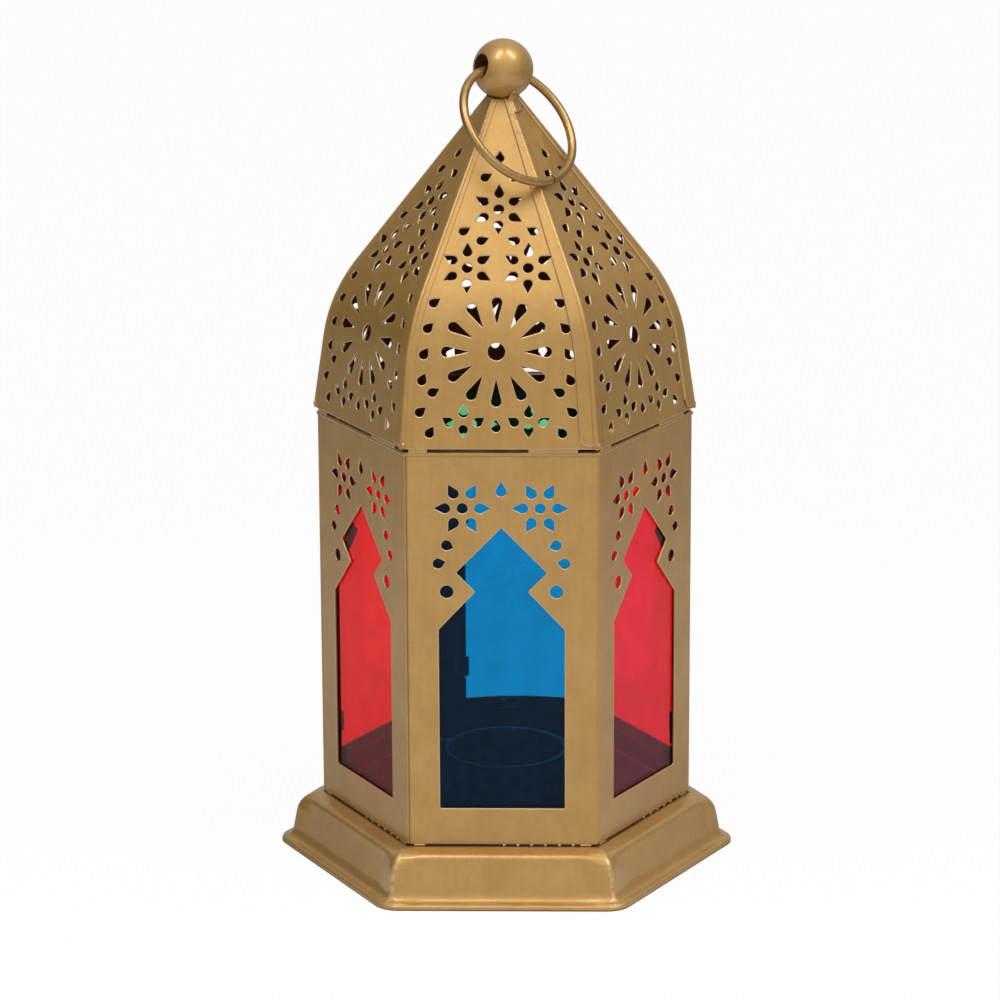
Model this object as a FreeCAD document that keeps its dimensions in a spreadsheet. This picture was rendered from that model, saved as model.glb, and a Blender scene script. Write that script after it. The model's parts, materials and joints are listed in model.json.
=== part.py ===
# Six-sided candle lantern: folded, pierced and gold-painted sheet with coloured glass panes,
# a pierced dome, a ball finial with a carrying ring, and a glazed door in the rear side.
# Millimetres, +Z up, the front side faces -Y. The origin is the middle of the base's underside.

import collections
import math
import os

import FreeCAD
import Part

from FreeCAD import Placement, Rotation, Vector

SIDE_NAMES = ("front", "front_right", "rear_right", "rear", "rear_left", "front_left")
SIDES = len(SIDE_NAMES)
TURN = 360.0 / SIDES
HALF_TURN = math.radians(TURN / 2)
REAR = SIDE_NAMES.index("rear")
UP = Vector(0, 0, 1)
MIDDLE = Vector(0, 0, 0)
TOUCH = 1e-6

# Driving dimensions: name, size in millimetres or degrees, meaning.
DIMENSIONS = (
    ("sheet_gauge", 0.6, "thickness of the folded sheet"),
    ("lap_gap", 0.05, "play between two lapped sheets"),
    ("panel_width", 63.0, "width of one side from corner to corner"),
    ("panel_height", 134.9, "height of one side"),
    ("panel_lap", 4.5, "fold of a side tucked behind the next side"),
    ("panel_bend", 1.2, "outer radius of that fold"),
    ("panel_lip", 4.0, "lip folded in at the top of a side"),
    ("lip_inset", 8.0, "how far the lip stops short of a corner"),
    ("foot_slit", 0.8, "gap between the base and the sides"),
    ("crown_slit", 1.4, "gap between the sides and the dome"),
    ("base_height", 17.6, "top of the base above the table"),
    ("base_gauge", 0.7, "thickness of the pressed base"),
    ("shoulder_inset", 0.8, "start of the base's shoulder inside the sides' faces"),
    ("shoulder_radius", 8.5, "rounding of the base's shoulder"),
    ("skirt_angle", 16.5, "lean of the base's skirt in degrees"),
    ("flange_height", 1.8, "top of the base's flange above the table"),
    ("flange_width", 3.8, "width of the base's flange"),
    ("flange_fillet", 2.5, "hollow between skirt and flange"),
    ("flange_roll", 1.2, "rounding of the flange's turned-down edge"),
    ("flange_corner", 9.0, "rounding of the flange's corners seen from above"),
    ("sill_height", 12.6, "lower edge of the arch above the side's foot"),
    ("arch_jamb", 10.8, "sheet beside the arched window, up to the side's corner"),
    ("arch_tip_drop", 25.3, "tip of the arch below the side's top"),
    ("arch_cusp_drop", 15.3, "widest point of the arch's head below its tip"),
    ("arch_cusp_width", 29.8, "width of the arch's head"),
    ("arch_neck_drop", 21.8, "neck of the arch below its tip"),
    ("arch_neck_width", 17.2, "width of the arch's neck"),
    ("arch_shoulder_drop", 34.8, "shoulders of the arch below its tip"),
    ("arch_corner", 0.5, "rounding of the arch's corners"),
    ("floret_spread", 12.7, "centre of a floret from the side's middle"),
    ("floret_drop", 18.7, "centre of a floret below the side's top"),
    ("floret_ring", 6.6, "petal's middle from its floret's centre"),
    ("petal_length", 5.3, "length of a floret's petal"),
    ("petal_width", 3.5, "width of a floret's petal"),
    ("floret_eye", 3.6, "hole in the middle of a floret"),
    ("upper_drop_spread", 17.6, "drops beside the arch's tip, from the side's middle"),
    ("upper_drop_drop", 6.1, "their middles below the arch's tip"),
    ("lower_drop_spread", 20.4, "drops beside the arch's head, from the side's middle"),
    ("lower_drop_drop", 12.1, "their middles below the arch's tip"),
    ("neck_eye_spread", 18.0, "round holes beside the arch's neck, from the side's middle"),
    ("neck_eye", 4.4, "width of those holes"),
    ("pane_gauge", 2.0, "thickness of the glass"),
    ("pane_margin", 4.0, "glass that laps behind its opening"),
    ("pane_gap", 0.3, "play between sheet and glass"),
    ("pane_top_drop", 6.3, "top of the glass below the side's top"),
    ("clip_gauge", 0.5, "thickness of a glass clip"),
    ("clip_height", 7.0, "height of a glass clip"),
    ("clip_leg", 2.4, "clip's leg on the sheet"),
    ("clip_lip", 2.6, "clip's lip over the glass"),
    ("clip_play", 0.1, "play between clip and glass"),
    ("clip_inset", 14.4, "middle of a clip from the glass's end"),
    ("transom_rise", 1.8, "lower edge of the upper rear pane above the doorway"),
    ("dome_overhang", 0.8, "dome's foot beyond the sides' faces"),
    ("dome_height", 105.8, "height of the dome's sheet"),
    ("wall_angle", 7.4, "lean of the dome's lower wall in degrees"),
    ("cone_angle", 34.4, "lean of the dome's upper cone in degrees"),
    ("dome_bend", 60.0, "rounding between wall and cone"),
    ("crown_opening", 4.6, "dome's top opening, from the axis to a side"),
    ("seam_lap_foot", 6.3, "dome seam's lap at the foot"),
    ("seam_lap_top", 2.5, "dome seam's lap at the top"),
    ("seam_round", 3.0, "rounded lower end of a seam's lap"),
    ("seam_rise", 1.0, "lower end of a seam's lap above the dome's foot"),
    ("fold_margin", 3.0, "plain margin beside a dome seam's fold"),
    ("daisy_height", 31.8, "centre of the daisy above the dome's foot, along the sheet"),
    ("daisy_ring", 13.4, "daisy petal's middle from its centre"),
    ("daisy_petal_length", 9.0, "length of a daisy's petal"),
    ("daisy_petal_width", 3.4, "width of a daisy's petal"),
    ("daisy_eye", 5.7, "hole in the middle of the daisy"),
    ("twin_floret_rise", 28.1, "centres of the two florets above the daisy's centre"),
    ("twin_floret_spread", 9.9, "their distance from the pattern's middle"),
    ("crown_floret_rise", 20.6, "centre of the upper floret above the two florets"),
    ("dome_floret_ring", 6.4, "dome floret's petal from its centre"),
    ("dome_petal_length", 4.9, "length of a dome floret's petal"),
    ("dome_petal_width", 3.1, "width of a dome floret's petal"),
    ("dome_floret_eye", 3.5, "hole in the middle of a dome floret"),
    ("drop_length", 4.2, "length of a single pierced drop"),
    ("drop_width", 3.0, "width of a single pierced drop"),
    ("tip_drop_rise", 18.6, "topmost drop above the upper floret's centre"),
    ("high_drop_rise", 11.5, "pair of drops over the upper floret, above its centre"),
    ("high_drop_spread", 4.2, "their distance from the pattern's middle"),
    ("side_drop_rise", 13.1, "pair of drops near the edges, above the two florets' centres"),
    ("side_drop_spread", 10.9, "their distance from the pattern's middle"),
    ("inner_drop_rise", 9.7, "pair of drops near the middle, above the two florets' centres"),
    ("inner_drop_spread", 5.0, "their distance from the pattern's middle"),
    ("edge_drop_height", 22.9, "lowest drop of the row up each edge"),
    ("edge_drop_pitch", 8.4, "distance from drop to drop in that row"),
    ("edge_drop_inset", 2.3, "that row's distance from the edge of the pierced field"),
    ("corner_drop_height", 18.8, "drops under the daisy's lower petals"),
    ("corner_drop_spread", 20.2, "their distance from the pattern's middle"),
    ("foot_row_height", 9.2, "middle of the row of crosses at the dome's foot"),
    ("cross_spread", 10.6, "centre of a cross from the pattern's middle"),
    ("cross_reach", 5.1, "side drop's middle from its cross's centre"),
    ("cross_rise", 3.3, "upper and lower drop's middle from its cross's centre"),
    ("centre_drop_height", 7.7, "drop between the two crosses"),
    ("outer_drop_height", 12.4, "drops outside the crosses"),
    ("last_drop_height", 5.7, "lowest drops"),
    ("last_drop_spread", 21.3, "their distance from the pattern's middle"),
    ("ball_radius", 10.0, "radius of the finial ball"),
    ("ball_bore", 4.05, "radius of the cross hole in the ball"),
    ("ball_seat_gap", 0.3, "play between the ball and the dome's rim"),
    ("bore_angle", 36.6, "direction of the cross hole from +X, in degrees"),
    ("bore_dip_angle", 12.1, "dip of the cross hole towards the rear, in degrees"),
    ("stem_radius", 1.8, "radius of the finial's stem"),
    ("stem_wall", 1.0, "metal left between the stem and the cross hole"),
    ("disc_drop", 9.0, "disc under the dome's top opening"),
    ("disc_gauge", 0.8, "thickness of that disc"),
    ("stem_head", 3.2, "radius of the stem's peened head"),
    ("stem_head_height", 1.2, "height of the stem's peened head"),
    ("ring_radius", 21.4, "carrying ring, axis to middle of its wire"),
    ("wire_radius", 1.45, "radius of the ring's wire"),
    ("ring_hang_gap", 0.5, "play between the ring and the mouth of its hole"),
    ("ring_rest_angle", 0.55, "ring's lean beyond the dome's ridges, in degrees"),
    ("ring_split_angle", 1.5, "gap in the ring, in degrees"),
    ("split_place_angle", 22.0, "place of that gap from the ring's lowest point, in degrees"),
    ("cup_radius", 19.75, "inner radius of the candle cup"),
    ("cup_height", 16.5, "height of the candle cup"),
    ("cup_bend", 2.5, "rounding between the cup's floor and wall"),
    ("cup_rim_width", 1.6, "width of the cup's turned-out rim"),
    ("cup_rim_bend", 0.24, "rounding under the cup's rim"),
    ("rivet_radius", 1.5, "radius of the cup's rivet"),
    ("rivet_head", 3.0, "radius of the rivet's heads"),
    ("rivet_head_height", 1.2, "height of the rivet's heads"),
    ("door_gap", 0.3, "play between the door and the rear side"),
    ("doorway_sill", 10.0, "lower edge of the doorway above the side's foot"),
    ("doorway_top_drop", 32.5, "top of the doorway below the side's top"),
    ("doorway_latch_jamb", 9.0, "sheet beside the doorway's latch edge, up to the side's corner"),
    ("doorway_hinge_jamb", 7.2, "sheet beside the doorway's hinge edge, up to the side's corner"),
    ("door_lap", 2.5, "door's lap over the doorway's edge"),
    ("door_rail", 5.0, "doorway's edge to the door's window, above and below"),
    ("door_latch_stile", 7.2, "doorway's latch edge to the door's window"),
    ("door_hinge_stile", 2.3, "doorway's hinge edge to the door's window"),
    ("door_sill_rise", 0.9, "bow of the door window's lower edge"),
    ("door_pane_lap", 1.5, "glass that laps behind the door's window"),
    ("pin_radius", 0.8, "radius of a hinge pin"),
    ("pin_fit", 0.01, "radial play of a pin in its fixed knuckle"),
    ("pin_play", 0.05, "radial play of a pin in its turning knuckle"),
    ("knuckle_radius", 1.5, "outer radius of a hinge knuckle"),
    ("knuckle_height", 8.0, "height of a hinge knuckle"),
    ("knuckle_gap", 0.3, "play between two knuckles"),
    ("knuckle_offset", 3.7, "hinge line from the doorway's hinge edge"),
    ("knuckle_plate", 2.0, "width of a fixed knuckle's soldered plate"),
    ("hinge_end", 6.0, "outer end of a hinge from the doorway's end"),
    ("pin_head", 1.3, "radius of a pin's heads"),
    ("pin_head_height", 0.6, "height of a pin's heads"),
    ("knob_inset", 2.3, "knob's axis from the doorway's latch edge"),
    ("knob_radius", 3.2, "radius of the latch knob"),
    ("knob_length", 6.0, "length of the latch knob"),
    ("knob_neck", 1.8, "radius of the latch knob's neck"),
    ("shank_radius", 1.1, "radius of the latch's shank"),
    ("shank_play", 0.05, "radial play of the shank in the door"),
    ("shank_end", 0.4, "end of the shank beyond the tongue"),
    ("knob_gap", 0.1, "play between the knob and the door"),
    ("tongue_width", 3.0, "width of the latch's tongue"),
    ("tongue_reach", 5.0, "reach of the latch's tongue from its axis"),
    ("tongue_gap", 0.3, "play between the tongue and the rear side"),
    ("tongue_corner", 0.9, "rounding of the tongue's corners"),
    ("tab_width", 6.0, "narrow tab under the dome's foot"),
    ("tab_inset", 1.5, "narrow tab from its side's left corner"),
    ("long_tab_width", 16.0, "long tab under the dome's foot"),
    ("long_tab_inset", 6.5, "long tab from its side's right corner"),
    ("end_bead_width", 3.6, "solder at a side's end"),
    ("end_bead_inset", 2.0, "that solder from the side's corner"),
    ("bead_width", 0.9, "solder bead under a side"),
    ("bead_pitch", 4.6, "distance from bead to bead"),
)

BEADS_PER_SIDE = 6
FLORET_PETALS = 6
DAISY_PETALS = 12
EDGE_DROPS = 4

# Directions in which the right-hand drops point, in degrees from the pattern's right.
UPWARDS = 90
DOWNWARDS = 270
UPPER_DROP_ANGLE = 205
LOWER_DROP_ANGLE = 165
INNER_DROP_ANGLE = 160
INWARD_DROP_ANGLE = 150
FIRST_EDGE_ANGLE = 115
EDGE_ANGLE_STEP = 10
CROSS_OUTER_ANGLE = 35
CROSS_INNER_ANGLE = 145
OUTER_DROP_ANGLE = 140
LAST_DROP_ANGLE = 120

document = FreeCAD.newDocument("candle_lantern")
sheet = document.addObject("Spreadsheet::Sheet", "dims")
for row, (name, value, meaning) in enumerate(DIMENSIONS, start=1):
    sheet.set(f"A{row}", meaning)
    sheet.set(f"B{row}", str(value))
    sheet.setAlias(f"B{row}", name)
document.recompute()

nodes = []


def size(name):
    """A driving dimension, read from the sheet."""
    return float(sheet.get(name))


GAUGE = size("sheet_gauge")
APOTHEM = size("panel_width") * math.cos(HALF_TURN)
INNER_FACE = APOTHEM - GAUGE
PANEL_FOOT = size("base_height") + size("foot_slit")
PANEL_TOP = PANEL_FOOT + size("panel_height")
DOME_FOOT = PANEL_TOP + size("crown_slit")
DOME_TOP = DOME_FOOT + size("dome_height")
PANE_FACE = INNER_FACE - size("pane_gap")
PANE_BACK = PANE_FACE - size("pane_gauge")
ARCH_HALF = size("panel_width") / 2 - size("arch_jamb")
DOORWAY_LATCH_EDGE = size("panel_width") / 2 - size("doorway_latch_jamb")
DOORWAY_HINGE_EDGE = size("doorway_hinge_jamb") - size("panel_width") / 2
TOOL_SPARE = 4 * GAUGE
PIERCE_DEPTH = 6 * GAUGE
PANEL_FOOT_CELLS = "dims.base_height + dims.foot_slit"


# Outlines and bent sheet

def straight(start, end):
    """A line between two points, or nothing where they meet."""
    if start.distanceToPoint(end) < TOUCH:
        return []
    return [Part.LineSegment(start, end)]


def rounded_path(points, radii):
    """Lines and arcs through the points, each inner corner rounded to its radius."""
    curves = []
    start = points[0]
    for before, corner, after, radius in zip(points, points[1:], points[2:], radii):
        into = (corner - before).normalize()
        out = (after - corner).normalize()
        turn = into.getAngle(out)
        if radius <= 0:
            curves += straight(start, corner)
            start = corner
            continue
        reach = radius * math.tan(turn / 2)
        inward = (out - into).normalize()
        first = corner - into * reach
        last = corner + out * reach
        crest = corner + inward * (radius / math.cos(turn / 2) - radius)
        curves += straight(start, first)
        curves.append(Part.Arc(first, crest, last))
        start = last
    return curves + straight(start, points[-1])


def moved_path(points, radii, distance):
    """The same path moved to the left of its travel, its arcs kept concentric."""
    lefts = []
    for start, end in zip(points, points[1:]):
        along = (end - start).normalize()
        lefts.append(Vector(-along.y, along.x, 0))
    moved = [points[0] + lefts[0] * distance]
    new_radii = []
    for corner, left_in, left_out, radius in zip(points[1:-1], lefts, lefts[1:], radii):
        share = distance / (1 + left_in.dot(left_out))
        moved.append(corner + (left_in + left_out) * share)
        turns_left = left_in.cross(left_out).z
        new_radii.append(radius - math.copysign(distance, turns_left))
    moved.append(points[-1] + lefts[-1] * distance)
    return moved, new_radii


def sheet_section(points, radii, near, far):
    """Closed outline of a bent sheet between two distances to the left of a path."""
    first = rounded_path(*moved_path(points, radii, near))
    second = rounded_path(*moved_path(points, radii, far))
    foot = Part.LineSegment(second[0].StartPoint, first[0].StartPoint)
    top = Part.LineSegment(first[-1].EndPoint, second[-1].EndPoint)
    return first + [top] + second + [foot]


def closed_path(points, radius):
    """Closed outline with every corner but the first rounded alike."""
    radii = [radius] * (len(points) - 1)
    return rounded_path(points + [points[0]], radii)


def face_of(curves):
    """Flat face inside a closed outline."""
    edges = [curve.toShape() for curve in curves]
    return Part.Face(Part.Wire(Part.__sortEdges__(edges)))


# The upright plane through the axis and the front side's middle: first outwards, then up.
FRONT_PLANE = Placement(MIDDLE, Rotation(Vector(0, -1, 0), UP, Vector(-1, 0, 0), "XYZ"))


def front_slab(curves, width):
    """An outline in the front plane, drawn out sideways to both hands."""
    face = face_of(curves)
    face.Placement = FRONT_PLANE
    face.translate(Vector(-width / 2, 0, 0))
    return face.extrude(Vector(width, 0, 0))


def turned(shape, steps):
    """A copy turned about the lantern's axis by whole sides."""
    copy = shape.copy()
    copy.rotate(MIDDLE, UP, TURN * steps)
    return copy


# Objects of the document

def keep(item, label):
    """Name an object as a piece of the lantern."""
    item.Label = label
    nodes.append(item)
    return item


def shaped(label, shape):
    """A piece whose shape is worked out here."""
    item = document.addObject("Part::Feature", label)
    item.Shape = shape
    return item


def turned_piece(source, label, steps):
    """The same piece again, turned about the lantern's axis by whole sides."""
    item = shaped(label, source.Shape)
    spin = Placement(MIDDLE, Rotation(UP, TURN * steps))
    item.Placement = spin.multiply(source.Placement)
    return keep(item, label)


def cut(label, base, tool):
    """A piece with a tool taken out of it."""
    item = document.addObject("Part::Cut", label)
    item.Base = base
    item.Tool = tool
    document.recompute()
    return item


def new_body(label):
    """An empty body that starts at the middle of the part."""
    return document.addObject("PartDesign::Body", label)


def sketch_on(body, role, name, loops, lift=None):
    """A sketch of closed outlines on one of the body's own planes."""
    plane = next(item for item in body.Origin.OriginFeatures if item.Role == role)
    sketch = body.newObject("Sketcher::SketchObject", name)
    sketch.AttachmentSupport = [(plane, "")]
    sketch.MapMode = "FlatFace"
    if lift:
        sketch.setExpression("AttachmentOffset.Base.z", lift)
    for curves in loops:
        sketch.addGeometry(curves, False)
    sketch.detectMissingPointOnPointConstraints(1e-4)
    sketch.makeMissingPointOnPointCoincident()
    document.recompute()
    return sketch


def pad(body, sketch, length):
    """Draw a sketch out by a length from the sheet."""
    feature = body.newObject("PartDesign::Pad", f"{sketch.Name}_pad")
    feature.Profile = sketch
    feature.setExpression("Length", length)
    document.recompute()
    return feature


def pocket_through(body, sketch):
    """Cut a sketch right through the body, to both hands of its plane."""
    before = body.Shape.Volume
    feature = body.newObject("PartDesign::Pocket", f"{sketch.Name}_pocket")
    feature.Profile = sketch
    feature.Type = "ThroughAll"
    feature.SideType = "Symmetric"
    document.recompute()
    if body.Shape.Volume >= before:
        raise ValueError(f"{sketch.Name} cuts nothing")
    return feature


def revolve(body, sketch, axis):
    """Turn a sketch once round one of its own axes."""
    feature = body.newObject("PartDesign::Revolution", f"{sketch.Name}_turn")
    feature.Profile = sketch
    feature.ReferenceAxis = (sketch, [axis])
    document.recompute()
    return feature


def outline(*corners):
    """Straight closed outline through pairs of numbers."""
    return closed_path([Vector(x, y, 0) for x, y in corners], 0)


def rectangle(left, low, right, high):
    """Closed outline of a rectangle."""
    return outline((left, low), (right, low), (right, high), (left, high))


def ring_outline(radius, x=0, y=0):
    """Closed outline of a circle."""
    return [Part.Circle(Vector(x, y, 0), UP, radius)]


# Pierced holes: drops, round eyes, and the florets made of them

Hole = collections.namedtuple("Hole", "across up length width angle")


def eye(across, up, width):
    """A round hole."""
    return Hole(across, up, width, width, 0)


def floret(across, up, petals, first_angle, ring, length, width, eye_width):
    """Petals in a ring about a round eye, their points outwards."""
    holes = [eye(across, up, eye_width)]
    for count in range(petals):
        angle = first_angle + 360 * count / petals
        x = across + ring * math.cos(math.radians(angle))
        y = up + ring * math.sin(math.radians(angle))
        holes.append(Hole(x, y, length, width, angle))
    return holes


def pair(across, up, length, width, angle):
    """A hole and its mirror image about the pattern's middle."""
    return [Hole(across, up, length, width, angle), Hole(-across, up, length, width, 180 - angle)]


def hole_face(hole):
    """The hole's outline about its own middle: a circle, or a round end drawn out to a point."""
    radius = hole.width / 2
    if hole.length == hole.width:
        return face_of(ring_outline(radius))
    reach = hole.length - radius
    half = math.acos(radius / reach)
    upper = Vector(radius * math.cos(half), radius * math.sin(half), 0)
    lower = Vector(upper.x, -upper.y, 0)
    tip = Vector(reach, 0, 0)
    back = Vector(-radius, 0, 0)
    point = [Part.LineSegment(lower, tip), Part.LineSegment(tip, upper)]
    face = face_of([Part.Arc(upper, back, lower)] + point)
    face.translate(Vector(radius - hole.length / 2, 0, 0))
    face.rotate(MIDDLE, UP, hole.angle)
    return face


def punch(hole, place, depth):
    """A pin of the hole's outline, standing through the sheet at a place."""
    face = hole_face(hole)
    face.translate(Vector(0, 0, -depth / 2))
    pin = face.extrude(Vector(0, 0, depth))
    pin.Placement = place.multiply(pin.Placement)
    return pin


# Base: six mitred lengths of one pressed section

def base_section():
    """Section of the base from its middle over the shoulder to the flange's turned-down edge."""
    lean = math.radians(size("skirt_angle"))
    shoulder = size("shoulder_radius")
    top = size("base_height")
    flange = size("flange_height")
    tangent = shoulder * math.tan((math.pi / 2 - lean) / 2)
    crest = APOTHEM - size("shoulder_inset") + tangent
    hollow = crest + (top - flange) * math.tan(lean)
    edge = hollow + size("flange_width")
    points = [
        Vector(0, top, 0),
        Vector(crest, top, 0),
        Vector(hollow, flange, 0),
        Vector(edge, flange, 0),
        Vector(edge, 0, 0),
    ]
    radii = [shoulder, size("flange_fillet"), size("flange_roll")]
    return sheet_section(points, radii, 0, -size("base_gauge")), edge


def mitre_wedge(reach, low, high):
    """One sixth of the space about the axis, centred on the front side."""
    half = reach * math.tan(HALF_TURN)
    points = [Vector(0, 0, low), Vector(-half, -reach, low), Vector(half, -reach, low)]
    wedge = Part.Face(Part.makePolygon(points + [points[0]]))
    return wedge.extrude(Vector(0, 0, high - low))


def hexagon(apothem):
    """Corners of a hexagon with its flat sides to the front and rear."""
    radius = apothem / math.cos(HALF_TURN)
    angles = [HALF_TURN * (2 * count + 1) - math.pi / 2 for count in range(SIDES)]
    return [Vector(radius * math.cos(angle), radius * math.sin(angle), 0) for angle in angles]


def build_base():
    """Pressed base tray that the sides stand on."""
    section, edge = base_section()
    reach = edge * 2
    wedge = mitre_wedge(reach, -TOOL_SPARE, size("base_height") + TOOL_SPARE)
    sector = front_slab(section, reach * 2).common(wedge)
    tray = sector.multiFuse([turned(sector, count) for count in range(1, SIDES)])
    corners = hexagon(edge)
    start = (corners[0] + corners[-1]) * 0.5
    rounded = face_of(rounded_path([start] + corners + [start], [size("flange_corner")] * SIDES))
    tray = tray.common(rounded.extrude(Vector(0, 0, size("base_height"))))
    bore = Part.makeCylinder(size("rivet_radius"), size("base_height") * 2)
    tray = tray.cut(bore).removeSplitter()
    keep(shaped("base_tray", tray), "base_tray")


# Sides: folded sheet with an arched window, florets and drops

def panel_section():
    """Plan of a side: its outer face, and the fold that tucks behind the next side on the left."""
    tuck = (GAUGE + size("lap_gap")) / math.sin(2 * HALF_TURN)
    fold = Vector(-size("panel_width") / 2 + tuck, -APOTHEM, 0)
    tip = fold + Vector(-math.cos(2 * HALF_TURN), math.sin(2 * HALF_TURN), 0) * size("panel_lap")
    end = Vector(size("panel_width") / 2, -APOTHEM, 0)
    return sheet_section([tip, fold, end], [size("panel_bend")], 0, GAUGE)


def panel_blank(label, window):
    """A side before its florets are pierced, with its window cut out."""
    body = new_body(label)
    pad(body, sketch_on(body, "XY_Plane", f"{label}_plan", [panel_section()]), "dims.panel_height")
    half = size("panel_width") / 2 - size("lip_inset")
    lip = rectangle(-half, -APOTHEM, half, -APOTHEM + size("panel_lip"))
    lift = "dims.panel_height - dims.sheet_gauge"
    pad(body, sketch_on(body, "XY_Plane", f"{label}_lip", [lip], lift), "dims.sheet_gauge")
    pocket_through(body, sketch_on(body, "XZ_Plane", f"{label}_window", [window]))
    body.setExpression("Placement.Base.z", PANEL_FOOT_CELLS)
    document.recompute()
    return body


def arch_window():
    """The arched window: straight jambs, a drawn-in neck and a pointed head."""
    tip = size("panel_height") - size("arch_tip_drop")
    jamb = ARCH_HALF
    neck = size("arch_neck_width") / 2
    cusp = size("arch_cusp_width") / 2
    right = [
        Vector(jamb, size("sill_height"), 0),
        Vector(jamb, tip - size("arch_shoulder_drop"), 0),
        Vector(neck, tip - size("arch_neck_drop"), 0),
        Vector(cusp, tip - size("arch_cusp_drop"), 0),
    ]
    left = [Vector(-point.x, point.y, 0) for point in reversed(right)]
    start = Vector(0, size("sill_height"), 0)
    return closed_path([start] + right + [Vector(0, tip, 0)] + left, size("arch_corner"))


def crown_florets():
    """Two florets side by side with one drop between them, near a side's top."""
    up = -size("floret_drop")
    ring = size("floret_ring")
    petal = (size("petal_length"), size("petal_width"))
    holes = [Hole(0, up + ring, *petal, UPWARDS)]
    for across in (-size("floret_spread"), size("floret_spread")):
        holes += floret(across, up, FLORET_PETALS, 0, ring, *petal, size("floret_eye"))
    return holes


def spandrel_drops():
    """Drops and round holes beside the arch's head, measured from its tip."""
    tip = -size("arch_tip_drop")
    drop = (size("drop_length"), size("petal_width"))
    holes = pair(size("upper_drop_spread"), tip - size("upper_drop_drop"), *drop, UPPER_DROP_ANGLE)
    holes += pair(size("lower_drop_spread"), tip - size("lower_drop_drop"), *drop, LOWER_DROP_ANGLE)
    for across in (-size("neck_eye_spread"), size("neck_eye_spread")):
        holes.append(eye(across, tip - size("arch_neck_drop"), size("neck_eye")))
    return holes


def panel_punches(label, holes):
    """Pins for the holes of the front side, whose heights are measured from its top."""
    pins = []
    for hole in holes:
        spot = Vector(hole.across, -APOTHEM, PANEL_TOP + hole.up)
        place = Placement(spot, Rotation(Vector(1, 0, 0), 90))
        pins.append(punch(hole, place, PIERCE_DEPTH))
    return shaped(label, Part.makeCompound(pins))


def build_panels():
    """Five glazed sides and the rear side with its doorway."""
    blank = panel_blank("side_blank", arch_window())
    pins = panel_punches("side_pins", crown_florets() + spandrel_drops())
    front = keep(cut("side_front", blank, pins), "side_front")
    for count, label in enumerate(SIDE_NAMES):
        if count not in (0, REAR):
            turned_piece(front, f"side_{label}", count)
    low, high = doorway_heights()
    opening = rectangle(DOORWAY_HINGE_EDGE, low, DOORWAY_LATCH_EDGE, high)
    blank = panel_blank("rear_blank", opening)
    pins = panel_punches("rear_pins", crown_florets())
    rear = cut("rear_cut", blank, pins)
    turned_piece(rear, "side_rear", REAR)


def doorway_heights():
    """Lower and upper edge of the doorway above the side's foot."""
    return size("doorway_sill"), size("panel_height") - size("doorway_top_drop")


# Glass and the clips that hold it

def block(corner, far_corner):
    """A plain block between two corners."""
    span = far_corner - corner
    return Part.makeBox(span.x, span.y, span.z, corner)


def pane_shape(left, right, low, high, face):
    """A pane of glass behind the front side, with its outer face at a distance from the axis."""
    back = face - size("pane_gauge")
    return block(Vector(left, -face, low), Vector(right, -back, high))


def clip_shape(edge, height, face, back):
    """A bent clip at a pane's right-hand edge: leg on the sheet, riser, and lip over the glass."""
    gauge = size("clip_gauge")
    foot = edge + size("clip_play")
    points = [
        Vector(foot + size("clip_leg"), -face, 0),
        Vector(foot, -face, 0),
        Vector(foot, -back + size("clip_play"), 0),
        Vector(edge - size("clip_lip"), -back + size("clip_play"), 0),
    ]
    section = face_of(sheet_section(points, [0, 0], 0, -gauge))
    section.translate(Vector(0, 0, height - size("clip_height") / 2))
    return section.extrude(Vector(0, 0, size("clip_height")))


def clip_pair(edge, height, face, back):
    """A clip at the right-hand edge and its mirror image at the left."""
    clip = clip_shape(edge, height, face, back)
    return [clip, clip.mirror(MIDDLE, Vector(1, 0, 0))]


def build_panes():
    """Coloured panes behind the five arched windows and the rear side's florets."""
    half = ARCH_HALF + size("pane_margin")
    low = PANEL_FOOT + size("sill_height") - size("pane_margin")
    high = PANEL_TOP - size("pane_top_drop")
    pane = pane_shape(-half, half, low, high, PANE_FACE)
    clips = []
    for height in (low + size("clip_inset"), high - size("clip_inset")):
        clips += clip_pair(half, height, INNER_FACE, PANE_BACK)
    clips = Part.makeCompound(clips)
    for count, label in enumerate(SIDE_NAMES):
        if count != REAR:
            keep(shaped(f"pane_{label}", turned(pane, count)), f"pane_{label}")
            keep(shaped(f"pane_clips_{label}", turned(clips, count)), f"pane_clips_{label}")
    low = PANEL_TOP - size("doorway_top_drop") + size("transom_rise")
    pane = pane_shape(-half, half, low, high, PANE_FACE)
    clips = Part.makeCompound(clip_pair(half, (low + high) / 2, INNER_FACE, PANE_BACK))
    keep(shaped("pane_transom", turned(pane, REAR)), "pane_transom")
    keep(shaped("pane_clips_transom", turned(clips, REAR)), "pane_clips_transom")


# Dome: six gores, each folded over its left-hand neighbour along the seam

def dome_path():
    """Outer line of a gore's middle in the front plane: wall, bend and cone, from foot to top."""
    wall = math.tan(math.radians(size("wall_angle")))
    cone = math.tan(math.radians(size("cone_angle")))
    foot = Vector(APOTHEM + size("dome_overhang"), DOME_FOOT, 0)
    top = Vector(size("crown_opening"), DOME_TOP, 0)
    knee_up = (top.x + cone * (top.y - foot.y) - foot.x) / (cone - wall)
    knee = Vector(foot.x - wall * knee_up, foot.y + knee_up, 0)
    return [foot, knee, top], [size("dome_bend")]


def dome_slab(outer, inner, width):
    """Sheet between two distances outside the gore's outer line, drawn out sideways."""
    points, radii = dome_path()
    return front_slab(sheet_section(points, radii, -outer, -inner), width)


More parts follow.
